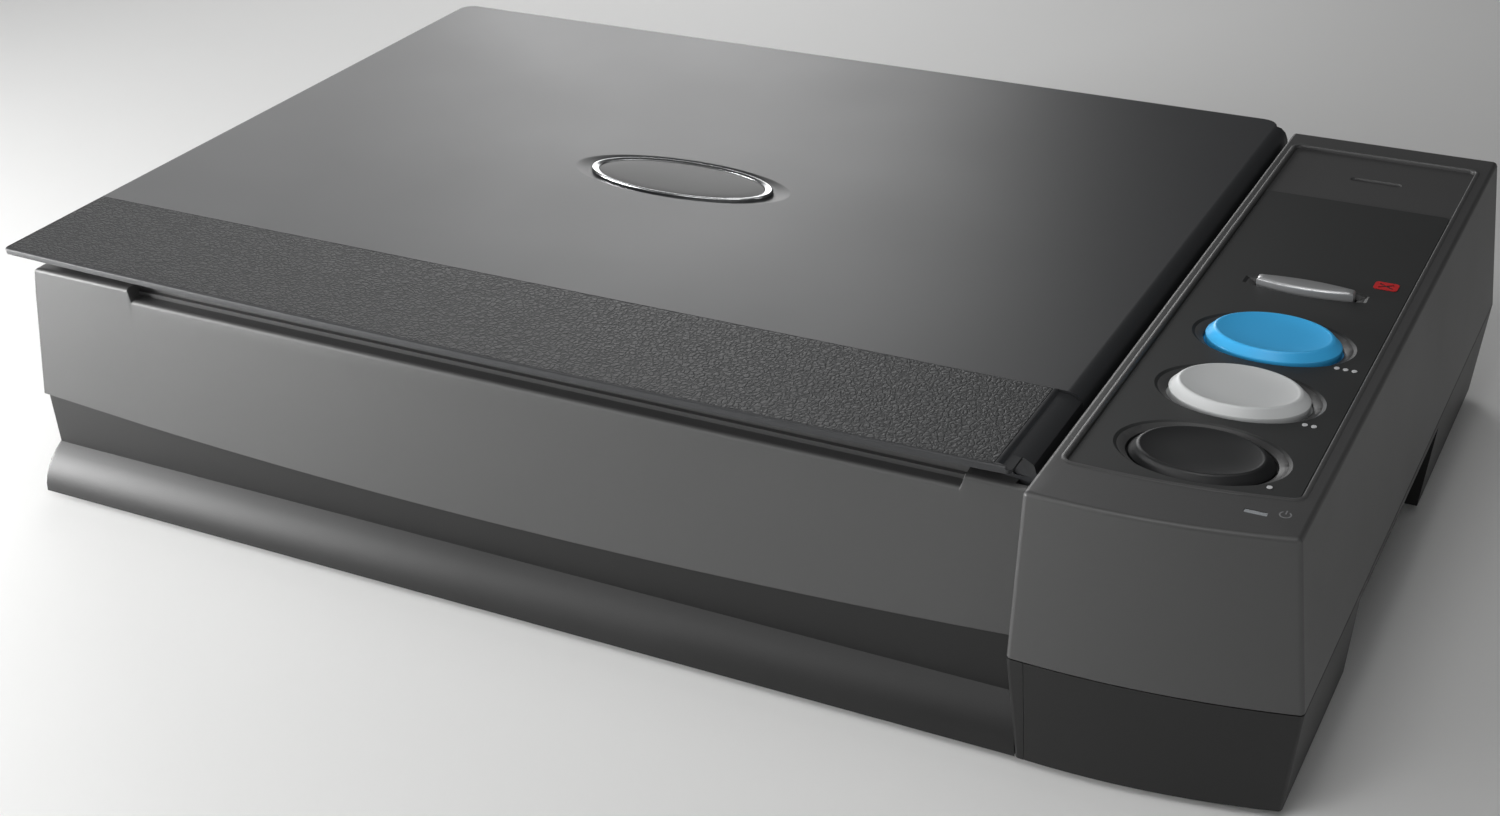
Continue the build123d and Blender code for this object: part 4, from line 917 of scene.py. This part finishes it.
def coil_tree():
    """A round wire wound along X from a starting point."""
    tree, given = tree_for("coil", {"Turns": "Float", "Radius": "Float", "Wire": "Float", "Length": "Float",
                                    "Start": "Vector", "Material": "Material"})
    spiral = add(tree, "GeometryNodeCurveSpiral", {
        "Resolution": 24, "Rotations": given["Turns"], "Start Radius": given["Radius"],
        "End Radius": given["Radius"], "Height": given["Length"]}).outputs[0]
    ring = add(tree, "GeometryNodeCurvePrimitiveCircle", {"Resolution": 10,
                                                          "Radius": given["Wire"]}).outputs[0]
    wire = add(tree, "GeometryNodeCurveToMesh", {"Curve": spiral, "Profile Curve": ring,
                                                 "Fill Caps": True}).outputs[0]
    laid = add(tree, "GeometryNodeTransform", {"Geometry": wire, "Translation": given["Start"],
                                               "Rotation": (0.0, pi / 2, 0.0)}).outputs[0]
    close_tree(tree, laid, given["Material"])
    return tree


def grown(base, tree, values):
    """The plain mesh that a tree makes of a base mesh."""
    holder = set_out("holder", base)
    modifier = holder.modifiers.new("grow", "NODES")
    modifier.node_group = tree
    units = []
    for socket in tree.interface.items_tree:
        value = values.get(socket.name)
        if isinstance(value, bpy.types.Mesh):
            value = set_out("unit", value)
            units.append(value)
        if value is not None:
            modifier[socket.identifier] = value
    ready = holder.evaluated_get(bpy.context.evaluated_depsgraph_get())
    mesh = bpy.data.meshes.new_from_object(ready)
    for spare in [holder] + units:
        bpy.data.objects.remove(spare)
    return mesh


def cloud_of(places, z):
    """A mesh of loose points at one height."""
    mesh = bpy.data.meshes.new("places")
    mesh.from_pydata([Vector((x, y, z)) * MM for x, y in places], [], [])
    return mesh


def make_repeats():
    """The cross-head screws and the ringed feet, one piece for each CAD node."""
    scatter = scatter_tree()
    lid_z, board_z = span("lid_screws")[0].z, span("board_screws")[1].z
    rows = [("cross_screws_housing", "housing_screws", SCREW_PLACES, FOOT + 0.2,
             screw_unit(3.0, 1.0, 1.5, 26.5), pi, 4),
            ("cross_screws_lid", "lid_screws", LID_SCREWS, lid_z, screw_unit(2.5, 0.8, 1.2, 3.2), pi, 4),
            ("cross_screws_board", "board_screws", BOARD_POSTS, board_z,
             screw_unit(2.4, 1.5, 1.2, 3.1), 0.0, 4),
            ("ringed_feet", "rubber_feet", FEET, 0.0, foot_unit(), 0.0, 7)]
    for name, node, places, z, unit, flip, seed in rows:
        slot = slots[node]
        mesh = grown(cloud_of(places, z), scatter, {"Unit": unit, "Flip": flip, "Turn": tau, "Seed": seed,
                                                    "Material": finishes[slot]})
        finish_piece(name, mesh, bodies[node], slot, [node], 32 if node == "rubber_feet" else 35)


def belt_loop(radius):
    """The belt's path round its two pulleys at a distance from their middles."""
    ends = [BELT_HIGH.x - BELT_REACH, BELT_LOW.x + BELT_REACH]
    middle = (BELT_LOW.y + BELT_HIGH.y) / 2
    loop = []
    for x, first in zip(ends, (-90, 90)):
        turns = [radians(first + 180 * k / 24) for k in range(25)]
        loop += [(x + radius * cos(a), middle + radius * sin(a)) for a in turns]
    return loop


def make_belt():
    """The toothed belt: a smooth band with teeth along its inner side."""
    skin = Skin()
    outer, inner = belt_loop(BELT_REACH), belt_loop(BELT_REACH - BELT_THICK)
    low, high = BELT_LOW.z, BELT_HIGH.z
    first, last = skin.loft(at(inner, low), at(outer, low), at(outer, high), at(inner, high))
    skin.join(last, first)
    finish_piece("belt_band", skin.done(), "base", "belt_rubber", ["drive_belt"])
    path = bpy.data.meshes.new("path")
    path.from_pydata([Vector((x, y, low)) * MM for x, y in inner],
                     [(i, (i + 1) % len(inner)) for i in range(len(inner))], [])
    mesh = grown(path, path_tree(), {"Unit": tooth_unit(), "Pitch": BELT_PITCH * MM,
                                     "Material": finishes["belt_rubber"]})
    finish_piece("belt_teeth", mesh, "base", "belt_rubber")


def make_spring():
    """The belt's tension spring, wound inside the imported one's box."""
    low, high = span("tension_spring")
    middle, length = (low + high) / 2, high.x - low.x - 2 * SPRING_WIRE
    mesh = grown(cloud_of([(0, 0)], 0), coil_tree(), {
        "Turns": length / SPRING_PITCH, "Radius": ((high.y - low.y) / 2 - SPRING_WIRE) * MM,
        "Wire": SPRING_WIRE * MM, "Length": length * MM, "Material": finishes["steel"],
        "Start": Vector((low.x + SPRING_WIRE, middle.y, middle.z)) * MM})
    finish_piece("coil_spring", mesh, "base", "steel", ["tension_spring"], 60)


make_platen_housing()
make_control_column()
make_panel_film()
for key in button_tops():
    make_key(*key)
make_lid()
make_grip_strip()
make_badge()
make_power_mark()
make_repeats()
make_belt()
make_spring()
# width of softened edges, and the nodes that get them
soft = {0.35: ["lower_housing", "column_foot_cover"],
        0.3: ["platen_glass", "hinge_post_left", "hinge_post_right", "lid_hinge_ears", "lid_inner_panel",
              "lid_mat", "led_window", "power_jack", "carriage_lid", "step_motor"],
        0.15: ["usb_socket", "light_bar", "light_lens", "key_switches"]}
for width, nodes in soft.items():
    for node in nodes:
        soften(node, width)


# --- stage, light and camera ---
def make_floor():
    """A wide floor of pale matt paint, mottled a little."""
    mesh = bpy.data.meshes.new("floor")
    half = 6.0
    mesh.from_pydata([(-half, -half, 0), (half, -half, 0), (half, half, 0), (-half, half, 0)], [],
                     [(0, 1, 2, 3)])
    material, tree, surface, place = start("pale_floor_paint", 0.7)
    mottle = add(tree, "ShaderNodeTexNoise", {"Vector": place, "Scale": 3.0, "Detail": 4.0}).outputs[0]
    tint(tree, surface, mottle, "#e9e9e8", "#f1f1f0")
    mesh.materials.append(material)
    set_out("floor", mesh)


def make_light(name, place, aim, size, power):
    """A white rectangular area light, placed and aimed in metres, its power in watts."""
    lamp = bpy.data.lights.new(name, "AREA")
    lamp.shape = "RECTANGLE"
    lamp.size, lamp.size_y = size
    lamp.energy = power
    light = set_out(name, lamp)
    light.location = place
    light.visible_camera = False
    light.rotation_euler = (Vector(aim) - Vector(place)).to_track_quat("-Z", "Y").to_euler()


def make_camera():
    """The camera, rolled a little, looks down over the front."""
    forward = Vector((-0.38226, 0.77404, -0.50472)).normalized()
    level_right = forward.cross(Vector((0, 0, 1))).normalized()
    right = Matrix.Rotation(radians(1.44), 3, forward) @ level_right
    up = right.cross(forward)
    lens = bpy.data.cameras.new("camera")
    lens.lens = 49.9
    lens.shift_x = -0.0577
    lens.shift_y = 0.0266
    camera = set_out("camera", lens)
    turn = Matrix((right, up, -forward)).transposed().to_4x4()
    camera.matrix_world = Matrix.Translation(Vector((311.4, -586.5, 385.9)) * MM) @ turn
    bpy.context.scene.camera = camera


make_floor()
make_camera()
lights = [("rear left softbox", (-1.9, 2.2, 1.1), (-0.05, 0.0, 0.06), (1.8, 1.2), 19.0),
          ("overhead softbox", (0.2, -0.1, 2.2), (-0.05, 0.0, 0.06), (1.6, 1.2), 6.0),
          ("left rear fill", (-0.4, 0.7, 0.35), (-0.1, 0.05, 0.09), (0.4, 0.25), 0.8),
          ("low left strip", (-0.72, -0.4, 0.15), (-0.22, -0.13, 0.04), (0.36, 0.2), 10.0),
          ("column front fill", (-0.1, -0.5, 0.3), (0.16, -0.14, 0.07), (0.25, 0.2), 0.35),
          ("column near fill", (0.1, -0.5, 0.75), (0.18, -0.1, 0.08), (0.3, 0.25), 1.3),
          ("low right strip", (0.75, -0.42, 0.2), (0.22, -0.1, 0.05), (0.3, 0.25), 0.6)]
for row in lights:
    make_light(*row)
world = bpy.data.worlds.new("studio")
world.use_nodes = True
sky = world.node_tree.nodes["Background"].inputs
sky["Color"].default_value = colour("#f4f5f6")
sky["Strength"].default_value = 0.06
bpy.context.scene.world = world
bpy.context.scene.view_settings.view_transform = "Standard"
